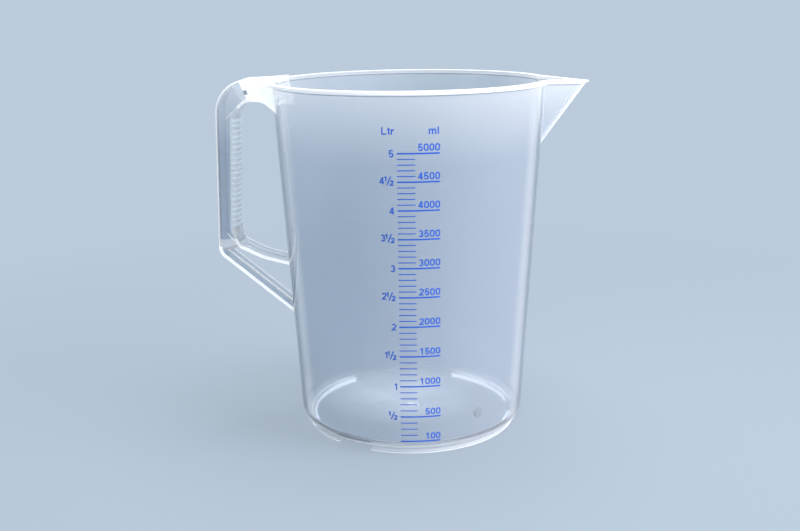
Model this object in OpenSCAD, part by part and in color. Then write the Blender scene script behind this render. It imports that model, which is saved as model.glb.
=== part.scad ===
// Five-litre measuring jug: a tapered, milky plastic vessel with a V spout,
// a closed grip handle and a printed volume scale. Lengths are in millimetres.
// The table is z = 0 and the vessel's axis is the Z axis. The spout points
// towards +X, the handle towards -X, and the printed scale faces -Y.

/* [Vessel] */
// Outer radius of the wall where its line meets the table
base_r = 83.1; // [80:0.1:86]
// Outer radius of the wall at the rim
mouth_r = 97.2; // [94:0.1:101]
// Height of the rim above the table
vessel_h = 253.8; // [248:0.1:262]
// Thickness of the wall
wall_t = 1.7; // [1.3:0.1:2.2]
// Height of the floor's upper side above the table
floor_z = 7; // [6.2:0.1:8]
// Thickness of the floor
floor_t = 2.2; // [1.6:0.1:2.8]
// Outer radius of the corner where the wall turns in under the floor
corner_r = 8.5; // [7.5:0.1:9.5]
// Inner radius of that corner
cavity_corner_r = 6.2; // [5:0.1:7]

/* [Foot] */
// Depth of the foot ring below the corner
foot_h = 2.8; // [2.2:0.1:3.4]
// How far the foot ring stands in from the wall's radius at the table
foot_inset = 4.5; // [3.8:0.1:5.2]
// Width of the foot ring
foot_w = 3.5; // [2.8:0.1:4.2]
// Number of gaps in the foot ring, the first of them under the spout
foot_gaps = 3; // [2:1:5]
// Angle that each gap takes up, in degrees
foot_gap_angle = 21; // [12:1:30]
// Diameter of the moulding gate's nub under the floor
gate_d = 6; // [4:0.5:8]
// Height of the gate's nub
gate_h = 1; // [0.6:0.1:1.4]
// Diameter of the round blank mark low on the wall
mark_d = 7.4; // [5:0.1:10]
// How far that mark stands out from the wall
mark_h = 0.3; // [0.2:0.05:0.5]
// Height of that mark's middle above the table
mark_z = 27.7; // [22:0.1:40]
// Direction of that mark, in degrees from the side towards the spout
mark_angle = 35.8; // [20:0.2:70]

/* [Rim] */
// How far the rim bead stands out from the wall
rim_over = 3.4; // [2.8:0.1:4]
// Height of the rim bead
rim_h = 2.7; // [2.3:0.1:3.2]
// Radius of the bead's outer edges
rim_edge_r = 0.8; // [0.4:0.1:1]

/* [Spout] */
// Distance from the rim's circle to the spout's tip
spout_reach = 31; // [27:0.1:34]
// Width of the spout where it leaves the wall, at the rim
spout_w = 49; // [44:0.5:54]
// Depth from the rim down to the start of the spout's keel
spout_drop = 46.5; // [42:0.1:52]
// How far the spout's tip lies below the rim
spout_dip = 2; // [0.5:0.1:3]
// Thickness of the spout's shell
spout_t = 1.6; // [1.3:0.1:1.8]
// Outer radius of the spout's keel
keel_r = 2; // [1.9:0.1:2.6]
// How far the bead's underside stands out from the keel at the tip
spout_over = 3; // [2.4:0.1:3.6]

/* [Handle] */
// Distance from the rim's circle to the outermost point of the grip
handle_reach = 43.7; // [42:0.1:46]
// Height from the grip's foot to the top of the thumb rest
handle_h = 171; // [166:0.5:178]
// Depth of the handle from side to side
handle_d = 26; // [23:0.5:30]
// How far the thumb rest stands above the rim
thumb_rise = 1.5; // [1:0.1:2.2]
// Thickness of the handle's bands
band_t = 2.4; // [2:0.1:2.8]
// Thickness of the grip's side walls
side_t = 1.8; // [1.4:0.1:2.2]
// How far the side walls lie in from the edges of the bands
side_inset = 1; // [0.6:0.1:1.6]
// Radius of the handle's upper outer corner
top_corner_r = 24; // [20:0.5:26]
// Radius of the handle's lower outer corner
low_corner_r = 10; // [7:0.5:12]
// Radius of the finger opening's corner at the vessel, under the upper arm
arm_corner_r = 14.6; // [10:0.2:16]
// Radius of the finger opening's upper outer corner
finger_top_r = 11.5; // [9:0.5:13]
// Radius of the finger opening's lower outer corner
finger_low_r = 8; // [5:0.5:9]
// Radius of the bend in the lower arm
lower_arm_r = 60; // [40:1:80]
// Width of the thumb rest where it meets the vessel
root_w = 60; // [54:1:68]
// Radius of the curve from the arm's side into the thumb rest's root
root_r = 20; // [14:1:24]
// Depth of the widened root below the top of the finger opening
root_h = 3.4; // [2.4:0.1:5]

/* [Grip] */
// Number of finger ribs
rib_count = 21; // [14:1:23]
// Distance from one finger rib to the next
rib_pitch = 3.8; // [3:0.1:4.2]
// Radius of a finger rib's round back
rib_r = 1.1; // [0.9:0.1:1.3]
// How far a finger rib stands out from the grip
rib_out = 0.6; // [0.3:0.1:0.8]
// Number of ribs on the thumb rest
thumb_rib_count = 3; // [2:1:4]
// Distance from one thumb rib to the next
thumb_rib_pitch = 4.2; // [3.4:0.1:4.4]
// Width of a thumb rib
thumb_rib_w = 2.1; // [1.4:0.1:2.6]
// Length of the thumb ribs
thumb_rib_l = 18.2; // [12:0.2:20]
// Height of the thumb ribs
thumb_rib_h = 0.5; // [0.3:0.1:0.8]

/* [Printed scale] */
// Volume at the highest line, in millilitres
full_ml = 5000; // [4500:500:5500]
// Depth from the rim down to the highest line
full_drop = 39.5; // [34:0.1:48]
// Volume from one long line to the next, in millilitres
long_ml = 500; // [500:500:1000]
// Volume from one short line to the next, in millilitres
short_ml = 100; // [50:50:250]
// Length of the long lines
long_line = 27.6; // [24:0.1:32]
// Length of the short lines
short_line = 11.6; // [8:0.1:14]
// Height of the long lines
long_line_w = 0.95; // [0.6:0.05:1.2]
// Height of the short lines
short_line_w = 0.6; // [0.4:0.05:0.8]
// Where the lines start, along the wall from the datum
line_start = -7.8; // [-12:0.1:-4]
// Turn of the scale's datum from the side of the jug, in degrees
scale_turn = 2.5; // [0:0.5:8]
// Height of the digits
digit_h = 4.7; // [3.8:0.1:4.8]
// Width of the digits' strokes
stroke_w = 0.78; // [0.5:0.02:0.8]
// Thickness of the ink
ink_t = 0.12; // [0.1:0.01:0.2]
// Gap between the lines and the litre digits
litre_gap = 2.2; // [1.5:0.1:3]
// Gap between the lines and the litre heading
heading_gap = 1.4; // [0.8:0.1:2.4]
// Height from a line to the foot of the millilitre digits
digit_lift = 1.6; // [1.2:0.05:2.5]
// Height from the highest line to the foot of the headings
heading_lift = 12.2; // [9:0.1:18]

/* [Hidden] */
$fn = 96;
over = 1; // overrun of every cut

plastic = [0.80, 0.86, 0.93];
handle_plastic = [0.88, 0.92, 0.97];
rim_plastic = [0.95, 0.97, 1.0];
ink = [0.12, 0.30, 0.78];

// The wall's outer radius at height z
taper = (mouth_r - base_r) / vessel_h;
lean = atan(taper);
function wall_r(z) = base_r + taper * z;

// Centre of a rounded corner, r and z, for the wall line moved in by an inset
function corner_centre(inset, low, r) =
    [wall_r(low + r) - (inset + r) / cos(lean), low + r];
corner_c = corner_centre(0, foot_h, corner_r);
cavity_c = corner_centre(wall_t, floor_z, cavity_corner_r);
wall_normal = [cos(lean), -sin(lean)];
rim_r = mouth_r + rim_over;
foot_r = base_r - foot_inset;
recess_r = foot_r - foot_w;
foot_pitch = 360 / foot_gaps;
under_z = floor_z - floor_t;
handle_top = vessel_h + thumb_rise;
far = 2 * mouth_r; // farther out than any part of the jug

// Unit vector, quarter turn to the left, turned vector, and paths reversed and mirrored
function unit(v) = v / norm(v);
function left(v) = [-v.y, v.x];
function turned(v, a) = [v.x * cos(a) - v.y * sin(a), v.x * sin(a) + v.y * cos(a)];
function flip(points) = [for (i = [len(points) - 1:-1:0]) points[i]];
function mirrored(points) = [for (p = points) [p.x, -p.y]];

// The arc of radius r that rounds corner b between a and c, in n steps
function corner_arc(a, b, c, r, n) =
    let (
        u = unit(a - b),
        v = unit(c - b),
        half = acos(u * v) / 2,
        centre = b + unit(u + v) * r / sin(half),
        start = b + u * r / tan(half) - centre,
        side = sign(cross(start, b + v * r / tan(half) - centre))
    )
    [for (i = [0:n]) centre + turned(start, side * (180 - 2 * half) * i / n)];

// A path through corners, each of them rounded unless its radius is 0
function round_path(corners, radii, n = 8) = [
    for (i = [0:len(corners) - 1])
        if (radii[i] == 0) corners[i]
        else each corner_arc(corners[i - 1], corners[i], corners[i + 1], radii[i], n)
];

// A path moved to its left by d, with the same thickness along every stretch
function moved_path(p, d) = [
    for (i = [0:len(p) - 1])
        let (
            before = left(unit(p[max(i, 1)] - p[max(i, 1) - 1])),
            after = left(unit(p[min(i, len(p) - 2) + 1] - p[min(i, len(p) - 2)]))
        )
        p[i] + d * (before + after) / (1 + before * after)
];

// Outline of a line of even width along a path
function stroke_outline(path, width) =
    concat(moved_path(path, width / 2), flip(moved_path(path, -width / 2)));

// The spout is a wedge along its sloping keel. Points in side view are x and z.
tip_x = mouth_r + spout_reach;
tip_z = vessel_h - spout_dip;
keel_low = [wall_r(vessel_h - spout_drop), vessel_h - spout_drop];
keel_high = [tip_x - spout_over, tip_z - rim_h];
keel_run = norm(keel_high - keel_low);
keel_dir = unit(keel_high - keel_low);
keel_lean = atan2(keel_dir.x, keel_dir.y);

// The shoulders, where the spout's flanks meet the wall at the rim, seen from the
// keel's centre line: distance behind it and to the side. They set the flanks' angle.
shoulder = [sqrt(mouth_r * mouth_r - spout_w * spout_w / 4), spout_w / 2];
behind_keel = left(keel_dir) * ([shoulder.x, vessel_h] - keel_low) - keel_r;
flank_angle = atan2(shoulder.y, behind_keel) - asin(keel_r / norm([behind_keel, shoulder.y]));

// The handle's frame: a share of its reach outwards and a share of its height downwards
function at_handle(share) =
    [-(mouth_r + share.x * handle_reach), handle_top - share.y * handle_h];
function handle_points(shares) = [for (share = shares) at_handle(share)];

// The handle's outer line, from the rim over the grip to the lower flange's end
outer_shares = [[-0.3, 0], [0.912, 0], [1, 0.74], [-0.32, 1.022]];
outer_path = round_path(handle_points(outer_shares), [0, top_corner_r, low_corner_r, 0]);

// The finger opening's outline, from the wall over the grip's inner face and back
opening_shares = [[-0.27, 0.192], [0.039, 0.091], [0.562, 0.091], [0.676, 0.697],
    [0.235, 0.752], [-0.34, 0.787]];
opening_path = round_path(handle_points(opening_shares),
    [0, arm_corner_r, finger_top_r, finger_low_r, lower_arm_r, 0]);

// Depth of the widened root below the top of the thumb rest
root_depth = opening_shares[1].y * handle_h + root_h;

// What is open under the curved lower edge of the grip's side walls
skirt_shares = [[1.1, 0.724], [0.84, 0.726], [0.77, 0.7235], [0.7, 0.714], [0.6, 0.69], [0.5, 0.66],
    [-1, 0.66], [-1, 1.1], [1.1, 1.1]];

// Where the thumb rest ends, where its ribs start and where the lower flange starts
thumb_end_share = 0.46;
thumb_end = at_handle([thumb_end_share, 0]).x;
flange_start_share = 0.74;
flange_start = at_handle([0, flange_start_share]).y;
flange_bead_w = side_t;
flange_bead_h = side_inset;

// The grip's inner face runs straight between two corners of the opening
grip_top = at_handle(opening_shares[2]);
grip_foot = at_handle(opening_shares[3]);
grip_along = unit(grip_foot - grip_top);
rib_start = (norm(grip_foot - grip_top) - (rib_count - 1) * rib_pitch) / 2;

// The scale: the height of the liquid's surface at a volume. The inside is part of a
// cone, whose volume grows with the cube of its radius from the floor to the highest line.
litre_ml = 1000;
full_z = vessel_h - full_drop;
cavity_low_r = wall_r(floor_z) - wall_t;
cavity_full_r = wall_r(full_z) - wall_t;
function mixed_squares(a, b) = a * a + a * b + b * b;
function surface_z(volume) =
    let (
        share = volume / full_ml,
        surface_r = pow((1 - share) * pow(cavity_low_r, 3) + share * pow(cavity_full_r, 3), 1 / 3)
    )
    floor_z + (full_z - floor_z) * share * mixed_squares(cavity_full_r, cavity_low_r)
        / mixed_squares(surface_r, cavity_low_r);
function arc_angle(length, z) = length / wall_r(z) * 180 / PI;
datum = -90 + scale_turn;
line_end = line_start + long_line;

// The vessel's outer form and its cavity as outlines of r and z
module outer_profile(extra) {
    polygon([[0, foot_h], [corner_c.x, foot_h], corner_c + corner_r * wall_normal,
        [wall_r(vessel_h + extra), vessel_h + extra], [0, vessel_h + extra]]);
    intersection() {
        translate(corner_c) circle(r = corner_r);
        square([mouth_r, mouth_r]);
    }
}

module cavity_profile() {
    polygon([[0, floor_z], [cavity_c.x, floor_z], cavity_c + cavity_corner_r * wall_normal,
        [wall_r(vessel_h + over) - wall_t / cos(lean), vessel_h + over], [0, vessel_h + over]]);
    translate(cavity_c) circle(r = cavity_corner_r);
}

// The vessel as one filled solid, with its wall line carried on above the handle
module filled_vessel() {
    rotate_extrude() outer_profile(root_depth);
}

// The rim bead's section, outside the wall
module bead_profile() {
    low = vessel_h - rim_h;
    polygon(round_path([[wall_r(low), low], [rim_r, low], [rim_r, vessel_h], [mouth_r, vessel_h]],
        [0, rim_edge_r, rim_edge_r, 0], 4));
}

// What the handle is trimmed by
module vessel_and_rim() {
    filled_vessel();
    rotate_extrude() bead_profile();
}

// The spout's V section, seen along the keel and moved in by an inset
spout_corner = [keel_r / sin(flank_angle) - keel_r, 0];
spout_wing = mouth_r * [-cos(flank_angle), sin(flank_angle)];
spout_path = round_path([spout_corner + spout_wing, spout_corner, spout_corner + mirrored([spout_wing])[0]],
    [0, keel_r, 0]);
module spout_section(inset) {
    polygon(moved_path(spout_path, -inset));
}

// The spout's form, carried on above the rim and inwards past the wall
module spout_form(inset) {
    translate([keel_low.x, 0, keel_low.y])
        rotate([0, keel_lean, 0])
            translate([0, 0, -keel_run / 2])
                linear_extrude(height = 2 * keel_run)
                    spout_section(inset);
}

// Everything under the spout's sloping top, down to a depth below it
module under_spout_top(depth) {
    top = [[0, vessel_h], [mouth_r, vessel_h], [tip_x, tip_z], [far, tip_z]];
    low = [for (p = top) p - [0, depth]];
    rotate([90, 0, 0])
        linear_extrude(height = far, center = true)
            polygon(concat(top, flip(low)));
}

module vessel_wall() {
    color(plastic)
        difference() {
            rotate_extrude()
                difference() {
                    outer_profile(0);
                    cavity_profile();
                    square([mouth_r, floor_z]);
                }
            spout_form(spout_t);
        }
}

module vessel_floor() {
    color(plastic)
        rotate_extrude()
            difference() {
                intersection() {
                    outer_profile(0);
                    square([mouth_r, floor_z]);
                }
                square([recess_r, under_z]);
            }
}

module foot_ring() {
    color(rim_plastic)
        for (i = [0:foot_gaps - 1])
            rotate([0, 0, i * foot_pitch + foot_gap_angle / 2])
                rotate_extrude(angle = foot_pitch - foot_gap_angle)
                    difference() {
                        translate([recess_r, 0]) square([foot_w, corner_c.y]);
                        outer_profile(0);
                    }
}

module gate_nub() {
    color(plastic)
        translate([0, 0, under_z - gate_h])
            cylinder(d = gate_d, h = gate_h);
}

module wall_mark() {
    color(plastic)
        difference() {
            rotate([0, 0, mark_angle - 90])
                translate([wall_r(mark_z), 0, mark_z])
                    rotate([0, 90 + lean, 0])
                        cylinder(d = mark_d, h = 2 * mark_h, center = true);
            filled_vessel();
        }
}

module rim_bead() {
    color(rim_plastic)
        difference() {
            rotate_extrude() bead_profile();
            spout_form(0);
        }
}

module spout_shell() {
    color(plastic)
        intersection() {
            difference() {
                spout_form(0);
                spout_form(spout_t);
                filled_vessel();
            }
            under_spout_top(vessel_h);
        }
}

module spout_bead() {
    root = [shoulder.x, shoulder.y + rim_over];
    color(rim_plastic)
        intersection() {
            difference() {
                linear_extrude(height = vessel_h)
                    polygon(concat([[tip_x, 0], root], mirrored([root])));
                spout_form(0);
                translate([0, 0, -over]) cylinder(r = rim_r, h = vessel_h + 2 * over);
            }
            under_spout_top(rim_h);
        }
}

// The side view of a handle piece, carried out to a depth from side to side
module across(depth) {
    rotate([90, 0, 0])
        linear_extrude(height = depth, center = true)
            children();
}

// The area in side view between a path and a line inside the vessel
module area_to_vessel(path) {
    inside_x = -mouth_r / 2;
    polygon(concat(path, [[inside_x, path[len(path) - 1].y], [inside_x, path[0].y]]));
}

// Everything on the grip's side of the handle's outer line moved in by an inset
module inside_outer_line(inset) {
    area_to_vessel(moved_path(outer_path, inset));
}

// The finger opening, grown by a thickness
module opening_area(grow) {
    area_to_vessel(moved_path(opening_path, -grow));
}

// The edge of the handle in plan: straight along the arm, widening at the vessel
arm_end_share = 0.25;
root_in = mouth_r - root_w / 6;
function plan_edge(inset) =
    moved_path(round_path([[-far, handle_d / 2], [-mouth_r - arm_end_share * handle_reach, handle_d / 2],
        [-root_in, root_w / 2]], [0, root_r, 0]), -inset);

// The handle's form in plan: its depth, and the wide root under the thumb rest
module handle_form(inset) {
    edge = plan_edge(inset);
    depth = handle_d - 2 * inset;
    translate([-far, -depth / 2, 0])
        cube([far, depth, handle_top + over]);
    translate([0, 0, handle_top - root_depth])
        linear_extrude(height = root_depth + over)
            polygon(concat(edge, flip(mirrored(edge))));
}

// The strip between the handle's outer line and the same line moved in by the band
module outer_strip() {
    difference() {
        inside_outer_line(0);
        inside_outer_line(band_t);
    }
}

// The area in side view outwards of the thumb rest
module beyond_thumb_rest() {
    translate([thumb_end - far, 0]) square([far, handle_top + over]);
}

// The area in side view below the grip
module below_grip() {
    translate([-far, 0]) square([far, flange_start]);
}

module thumb_rest() {
    color(handle_plastic)
        difference() {
            intersection() {
                across(root_w)
                    difference() {
                        outer_strip();
                        beyond_thumb_rest();
                        below_grip();
                    }
                handle_form(0);
            }
            vessel_and_rim();
        }
}

module thumb_ribs() {
    color(handle_plastic)
        for (i = [1:thumb_rib_count])
            translate([-rim_r - thumb_rib_w / 2 - (i - 1) * thumb_rib_pitch, 0, handle_top])
                translate([-thumb_rib_w / 2, -thumb_rib_l / 2, 0])
                    cube([thumb_rib_w, thumb_rib_l, thumb_rib_h]);
}

module handle_outer_band() {
    color(handle_plastic)
        across(handle_d)
            difference() {
                intersection() {
                    outer_strip();
                    beyond_thumb_rest();
                }
                below_grip();
            }
}

module handle_lower_flange() {
    color(handle_plastic)
        difference() {
            union() {
                across(handle_d)
                    intersection() {
                        outer_strip();
                        below_grip();
                    }
                across(flange_bead_w)
                    intersection() {
                        difference() {
                            inside_outer_line(band_t / 2);
                            inside_outer_line(band_t + flange_bead_h);
                        }
                        below_grip();
                    }
            }
            filled_vessel();
        }
}

module handle_finger_band() {
    color(handle_plastic)
        difference() {
            intersection() {
                across(root_w)
                    intersection() {
                        difference() {
                            opening_area(band_t);
                            opening_area(0);
                        }
                        inside_outer_line(band_t);
                    }
                handle_form(0);
            }
            vessel_and_rim();
        }
}

// The side walls in side view: between the outer band and the finger band
module side_area() {
    difference() {
        inside_outer_line(band_t);
        opening_area(band_t);
        polygon(handle_points(skirt_shares));
    }
}

module side_wall(side) {
    difference() {
        intersection() {
            across(root_w) side_area();
            difference() {
                handle_form(side_inset);
                handle_form(side_inset + side_t);
            }
            translate([-far, (side - 1) * root_w / 2, 0])
                cube([far, root_w, handle_top]);
        }
        vessel_and_rim();
    }
}

module handle_near_side() {
    color(handle_plastic) side_wall(-1);
}

module handle_far_side() {
    color(handle_plastic) side_wall(1);
}

module finger_ribs() {
    color(handle_plastic)
        across(handle_d - 2 * side_inset)
            intersection() {
                opening_area(0);
                for (i = [0:rib_count - 1])
                    translate(grip_top + grip_along * (rib_start + i * rib_pitch)
                        + left(grip_along) * (rib_out - rib_r))
                        circle(r = rib_r, $fn = 32);
            }
}

// A printed line on the wall at height z, from one place along the wall to another
module printed_line(z, start, end, width) {
    low = z - width / 2;
    high = z + width / 2;
    rotate([0, 0, datum + arc_angle(start, z)])
        rotate_extrude(angle = arc_angle(end - start, z))
            polygon([[wall_r(low), low], [wall_r(low) + ink_t, low],
                [wall_r(high) + ink_t, high], [wall_r(high), high]]);
}

module scale_long_lines() {
    color(ink) {
        for (volume = [long_ml:long_ml:full_ml])
            printed_line(surface_z(volume), line_start, line_end, long_line_w);
        printed_line(surface_z(short_ml), line_start, line_end, long_line_w);
    }
}

module scale_short_lines() {
    color(ink)
        for (volume = [2 * short_ml:short_ml:full_ml])
            if (volume % long_ml != 0)
                printed_line(surface_z(volume), line_start, line_start + short_line, short_line_w);
}

// Round stretches of a character are arcs of an ellipse: centre, radii, first and last angle
function bow(c, r, from, to, n = 8) =
    [for (i = [0:n]) c + [r.x * cos(from + (to - from) * i / n), r.y * sin(from + (to - from) * i / n)]];

// Characters in shares of their height: the character, the advance to the next one,
// its own right edge, and its strokes as paths
glyph_shares = [
    ["0", 0.78, 0.66, []],
    ["1", 0.78, 0.43, [[[0.36, 0], [0.36, 1]], [[0.36, 0.88], [0.1, 0.74]]]],
    ["2", 0.78, 0.62, [concat(bow([0.33, 0.69], [0.25, 0.235], 165, -40), [[0.09, 0.075], [0.62, 0.075]])]],
    ["3", 0.78, 0.63, [bow([0.31, 0.715], [0.22, 0.21], 155, -90), bow([0.31, 0.3], [0.25, 0.225], 90, -155)]],
    ["4", 0.78, 0.64, [[[0.46, 0], [0.46, 0.99]], [[0.42, 0.96], [0.07, 0.27], [0.64, 0.27]]]],
    ["5", 0.78, 0.64, [concat([[0.57, 0.925], [0.17, 0.925], [0.12, 0.47]],
        bow([0.32, 0.32], [0.25, 0.25], 125, -150))]],
    ["/", 0.52, 0.5, [[[0, -0.1], [0.5, 1.1]]]],
    ["L", 0.8, 0.68, [[[0.08, 1], [0.08, 0.075], [0.68, 0.075]]]],
    ["t", 0.48, 0.36, [[[0.18, 0.94], [0.18, 0.16], [0.36, 0.06]], [[0.02, 0.68], [0.36, 0.68]]]],
    ["r", 0.55, 0.47, [[[0.08, 0], [0.08, 0.74]], bow([0.45, 0.3], [0.37, 0.36], 175, 88)]],
    ["m", 1.2, 0.99, [[[0.08, 0], [0.08, 0.74]],
        concat(bow([0.29, 0.5], [0.21, 0.17], 180, 0), [[0.5, 0]]),
        concat(bow([0.71, 0.5], [0.21, 0.17], 180, 0), [[0.92, 0]])]],
    ["l", 0.3, 0.16, [[[0.08, 0], [0.08, 1.02]]]],
];
zero_w_share = 0.66;
middle_share = 0.33;
function glyph(c) = [for (entry = glyph_shares) if (entry[0] == c) entry][0];
function start_share(word, n) = n == 0 ? 0 : glyph(word[n - 1])[1] + start_share(word, n - 1);
function word_share(word) = start_share(word, len(word) - 1) + glyph(word[len(word) - 1])[2];

// The zero as a ring with straight sides
module zero_area(height, inset) {
    r = zero_w_share * height / 2;
    for (y = [r, height - r])
        translate([r, y]) circle(r = r - inset, $fn = 32);
    translate([inset, r]) square([2 * (r - inset), height - 2 * r]);
}

module character(c, height) {
    if (c == "0")
        difference() {
            zero_area(height, 0);
            zero_area(height, stroke_w);
        }
    for (path = glyph(c)[3])
        polygon(stroke_outline(path * height, stroke_w));
}

// One character on the wall, standing upright with its foot's left end at a place
// along the wall and at height z
module printed_character(c, place, z, height) {
    middle = middle_share * height;
    rotate([0, 0, datum + arc_angle(place + middle, z) + 90])
        translate([0, -wall_r(z), z])
            rotate([90 + lean, 0, 0])
                translate([-middle, 0, 0])
                    linear_extrude(height = ink_t)
                        character(c, height);
}

// A word that ends at a place along the wall
module printed_word(word, end, z) {
    start = end - word_share(word) * digit_h;
    for (i = [0:len(word) - 1])
        printed_character(word[i], start + start_share(word, i) * digit_h, z, digit_h);
}

// A whole number of litres and, where there is one, a half as a small fraction
half_share = 0.7;
half_w_share = 1.33;
half_lift_share = 0.2;
upper_place_share = [-1.33, 0.42];
slash_place_share = [-0.92, 0];
lower_place_share = [-0.5, -0.16];
module litre_label(volume) {
    whole = floor(volume / litre_ml);
    has_half = volume % litre_ml != 0;
    z = surface_z(volume) - digit_h / 2 + (has_half ? half_lift_share * digit_h : 0);
    right = line_start - litre_gap;
    if (has_half) {
        upper = [right, z] + upper_place_share * digit_h;
        slash = [right, z] + slash_place_share * digit_h;
        lower = [right, z] + lower_place_share * digit_h;
        printed_character("1", upper.x, upper.y, half_share * digit_h);
        printed_character("/", slash.x, slash.y, digit_h);
        printed_character("2", lower.x, lower.y, half_share * digit_h);
    }
    if (whole > 0)
        printed_word(str(whole), right - (has_half ? half_w_share * digit_h : 0), z);
}

module litre_numerals() {
    color(ink)
        for (volume = [long_ml:long_ml:full_ml])
            litre_label(volume);
}

module millilitre_numerals() {
    color(ink)
        for (volume = concat([short_ml], [for (v = [long_ml:long_ml:full_ml]) v]))
            printed_word(str(volume), line_end, surface_z(volume) + digit_lift);
}

module unit_headings() {
    z = surface_z(full_ml) + heading_lift;
    color(ink) {
        printed_word("Ltr", line_start - heading_gap, z);
        printed_word("ml", line_end - heading_gap / 2, z);
    }
}

vessel_wall();
vessel_floor();
foot_ring();
gate_nub();
wall_mark();
rim_bead();
spout_shell();
spout_bead();
thumb_rest();
thumb_ribs();
handle_outer_band();
handle_lower_flange();
handle_finger_band();
handle_near_side();
handle_far_side();
finger_ribs();
scale_long_lines();
scale_short_lines();
litre_numerals();
millilitre_numerals();
unit_headings();
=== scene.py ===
"""Looks of a five-litre measuring jug: milky plastic vessel, closed grip and printed scale."""

import logging
import math
from collections.abc import Callable, Sequence
from dataclasses import dataclass, field, replace
from enum import Enum, IntEnum
from functools import reduce

import bmesh
import bpy
from bpy.types import Material, Mesh, Node, NodeOutputs, NodeSocket, NodeTree, Object, World
from mathutils import Matrix, Vector


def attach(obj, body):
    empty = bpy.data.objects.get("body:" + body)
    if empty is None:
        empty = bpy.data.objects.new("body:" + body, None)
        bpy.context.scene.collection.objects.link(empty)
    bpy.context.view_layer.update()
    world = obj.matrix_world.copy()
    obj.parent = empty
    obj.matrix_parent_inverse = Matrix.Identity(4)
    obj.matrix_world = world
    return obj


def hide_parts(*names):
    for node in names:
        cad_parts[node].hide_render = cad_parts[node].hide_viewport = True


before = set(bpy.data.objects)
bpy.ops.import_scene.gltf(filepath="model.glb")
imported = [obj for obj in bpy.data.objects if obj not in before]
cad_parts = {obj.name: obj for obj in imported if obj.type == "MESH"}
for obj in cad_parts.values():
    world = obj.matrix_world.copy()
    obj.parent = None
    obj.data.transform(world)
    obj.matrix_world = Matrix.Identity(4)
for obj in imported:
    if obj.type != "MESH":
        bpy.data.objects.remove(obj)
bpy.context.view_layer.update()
LOG = logging.getLogger("measuring_jug")
MM = 0.001
BODY = "root"

Colour = tuple[float, float, float, float]
Point = tuple[float, float]
Place = Sequence[float]


class Slot(Enum):
    """Material slots of the record."""

    PLASTIC = "polypropylene"
    INK = "ink"


class Coat(IntEnum):
    """Finishes of a plastic piece's faces, in the order of its materials; most of them paint light
    or shade into the plastic.
    """

    THIN = 0
    THICK = 1
    DULL_SHADE = 2
    PALE = 3
    LIT = 4
    ROOT = 5
    SHADE = 6
    BRIGHT = 7
    RIBBED = 8


# ---------------------------------------------------------------- shapes in the plane


def linear_colour(red: int, green: int, blue: int) -> Colour:
    """A colour from its 0 to 255 display values."""
    shares = (red / 255, green / 255, blue / 255)
    return (*(s / 12.92 if s <= 0.04045 else ((s + 0.055) / 1.055) ** 2.4 for s in shares), 1.0)


def smooth_max(a: float, b: float, width: float) -> float:
    """The larger of two values, rounded where they come closer than a width."""
    near = max(width - abs(a - b), 0.0) / width
    return max(a, b) + near * near * width / 4


def smooth_step(low: float, high: float, value: float) -> float:
    """A soft step from 0 at the low value to 1 at the high one."""
    share = min(max((value - low) / (high - low), 0.0), 1.0)
    return share * share * (3 - 2 * share)


def spread(low: float, high: float, count: int) -> list[float]:
    """Even steps from one value to another, both among them."""
    return [low + (high - low) * i / count for i in range(count + 1)]


def half_turn(degrees: float) -> float:
    """The same direction between -180 and 180 degrees."""
    return (degrees + 180) % 360 - 180


def turns(count: int) -> list[float]:
    """Even directions all the way round, in radians."""
    return [2 * math.pi * i / count for i in range(count)]


def on_circle(middle: Point, radius: float, turn: float) -> Point:
    """The point of a circle in a direction."""
    return (middle[0] + radius * math.cos(turn), middle[1] + radius * math.sin(turn))


def corner_arc(a: Vector, b: Vector, c: Vector, radius: float, steps: int) -> list[Vector]:
    """The arc that rounds corner b between a and c.

    Args:
        a: Point before the corner.
        b: The corner.
        c: Point after the corner.
        radius: The arc's radius.
        steps: Number of chords.

    Returns:
        The arc's points.
    """
    to_a, to_c = (a - b).normalized(), (c - b).normalized()
    half = to_a.angle(to_c) / 2
    centre = b + (to_a + to_c).normalized() * (radius / math.sin(half))
    start = b + to_a * (radius / math.tan(half)) - centre
    end = b + to_c * (radius / math.tan(half)) - centre
    side = 1 if start.x * end.y - start.y * end.x > 0 else -1
    turn = side * (math.pi - 2 * half) / steps
    return [centre + Matrix.Rotation(turn * i, 2) @ start for i in range(steps + 1)]


def round_path(corners: Sequence[Vector], radii: Sequence[float], steps: int) -> list[Vector]:
    """A path through corners, rounded where their radius isn't 0.

    Args:
        corners: The path's corners.
        radii: A radius for each corner.
        steps: Number of chords of each arc.

    Returns:
        The path's points.
    """
    points: list[Vector] = []
    for i, (corner, radius) in enumerate(zip(corners, radii)):
        if radius == 0:
            points.append(corner)
        else:
            points += corner_arc(corners[i - 1], corner, corners[i + 1], radius, steps)
    return points


def normals_along(path: Sequence[Vector]) -> list[Vector]:
    """Mitred normals to the left of a path in the plane.

    Args:
        path: The path's points.

    Returns:
        A vector at each point that moves both of its stretches by 1.
    """
    result = []
    last = len(path) - 1
    for i in range(len(path)):
        before = (path[max(i, 1)] - path[max(i, 1) - 1]).normalized()
        after = (path[min(i, last - 1) + 1] - path[min(i, last - 1)]).normalized()
        a, b = Vector((-before.y, before.x)), Vector((-after.y, after.x))
        result.append((a + b) / (1 + a.dot(b)))
    return result


def evenly(path: Sequence[Vector], count: int) -> list[Vector]:
    """Points at even distances along a path.

    Args:
        path: The path's points.
        count: Number of stretches.

    Returns:
        The points, both ends among them.
    """
    lengths = [0.0]
    for a, b in zip(path, path[1:]):
        lengths.append(lengths[-1] + (b - a).length)
    result = []
    k = 0
    for i in range(count + 1):
        want = lengths[-1] * i / count
        while k < len(path) - 2 and lengths[k + 1] < want:
            k += 1
        share = (want - lengths[k]) / max(lengths[k + 1] - lengths[k], 1e-9)
        result.append(path[k].lerp(path[k + 1], share))
    return result


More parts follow.
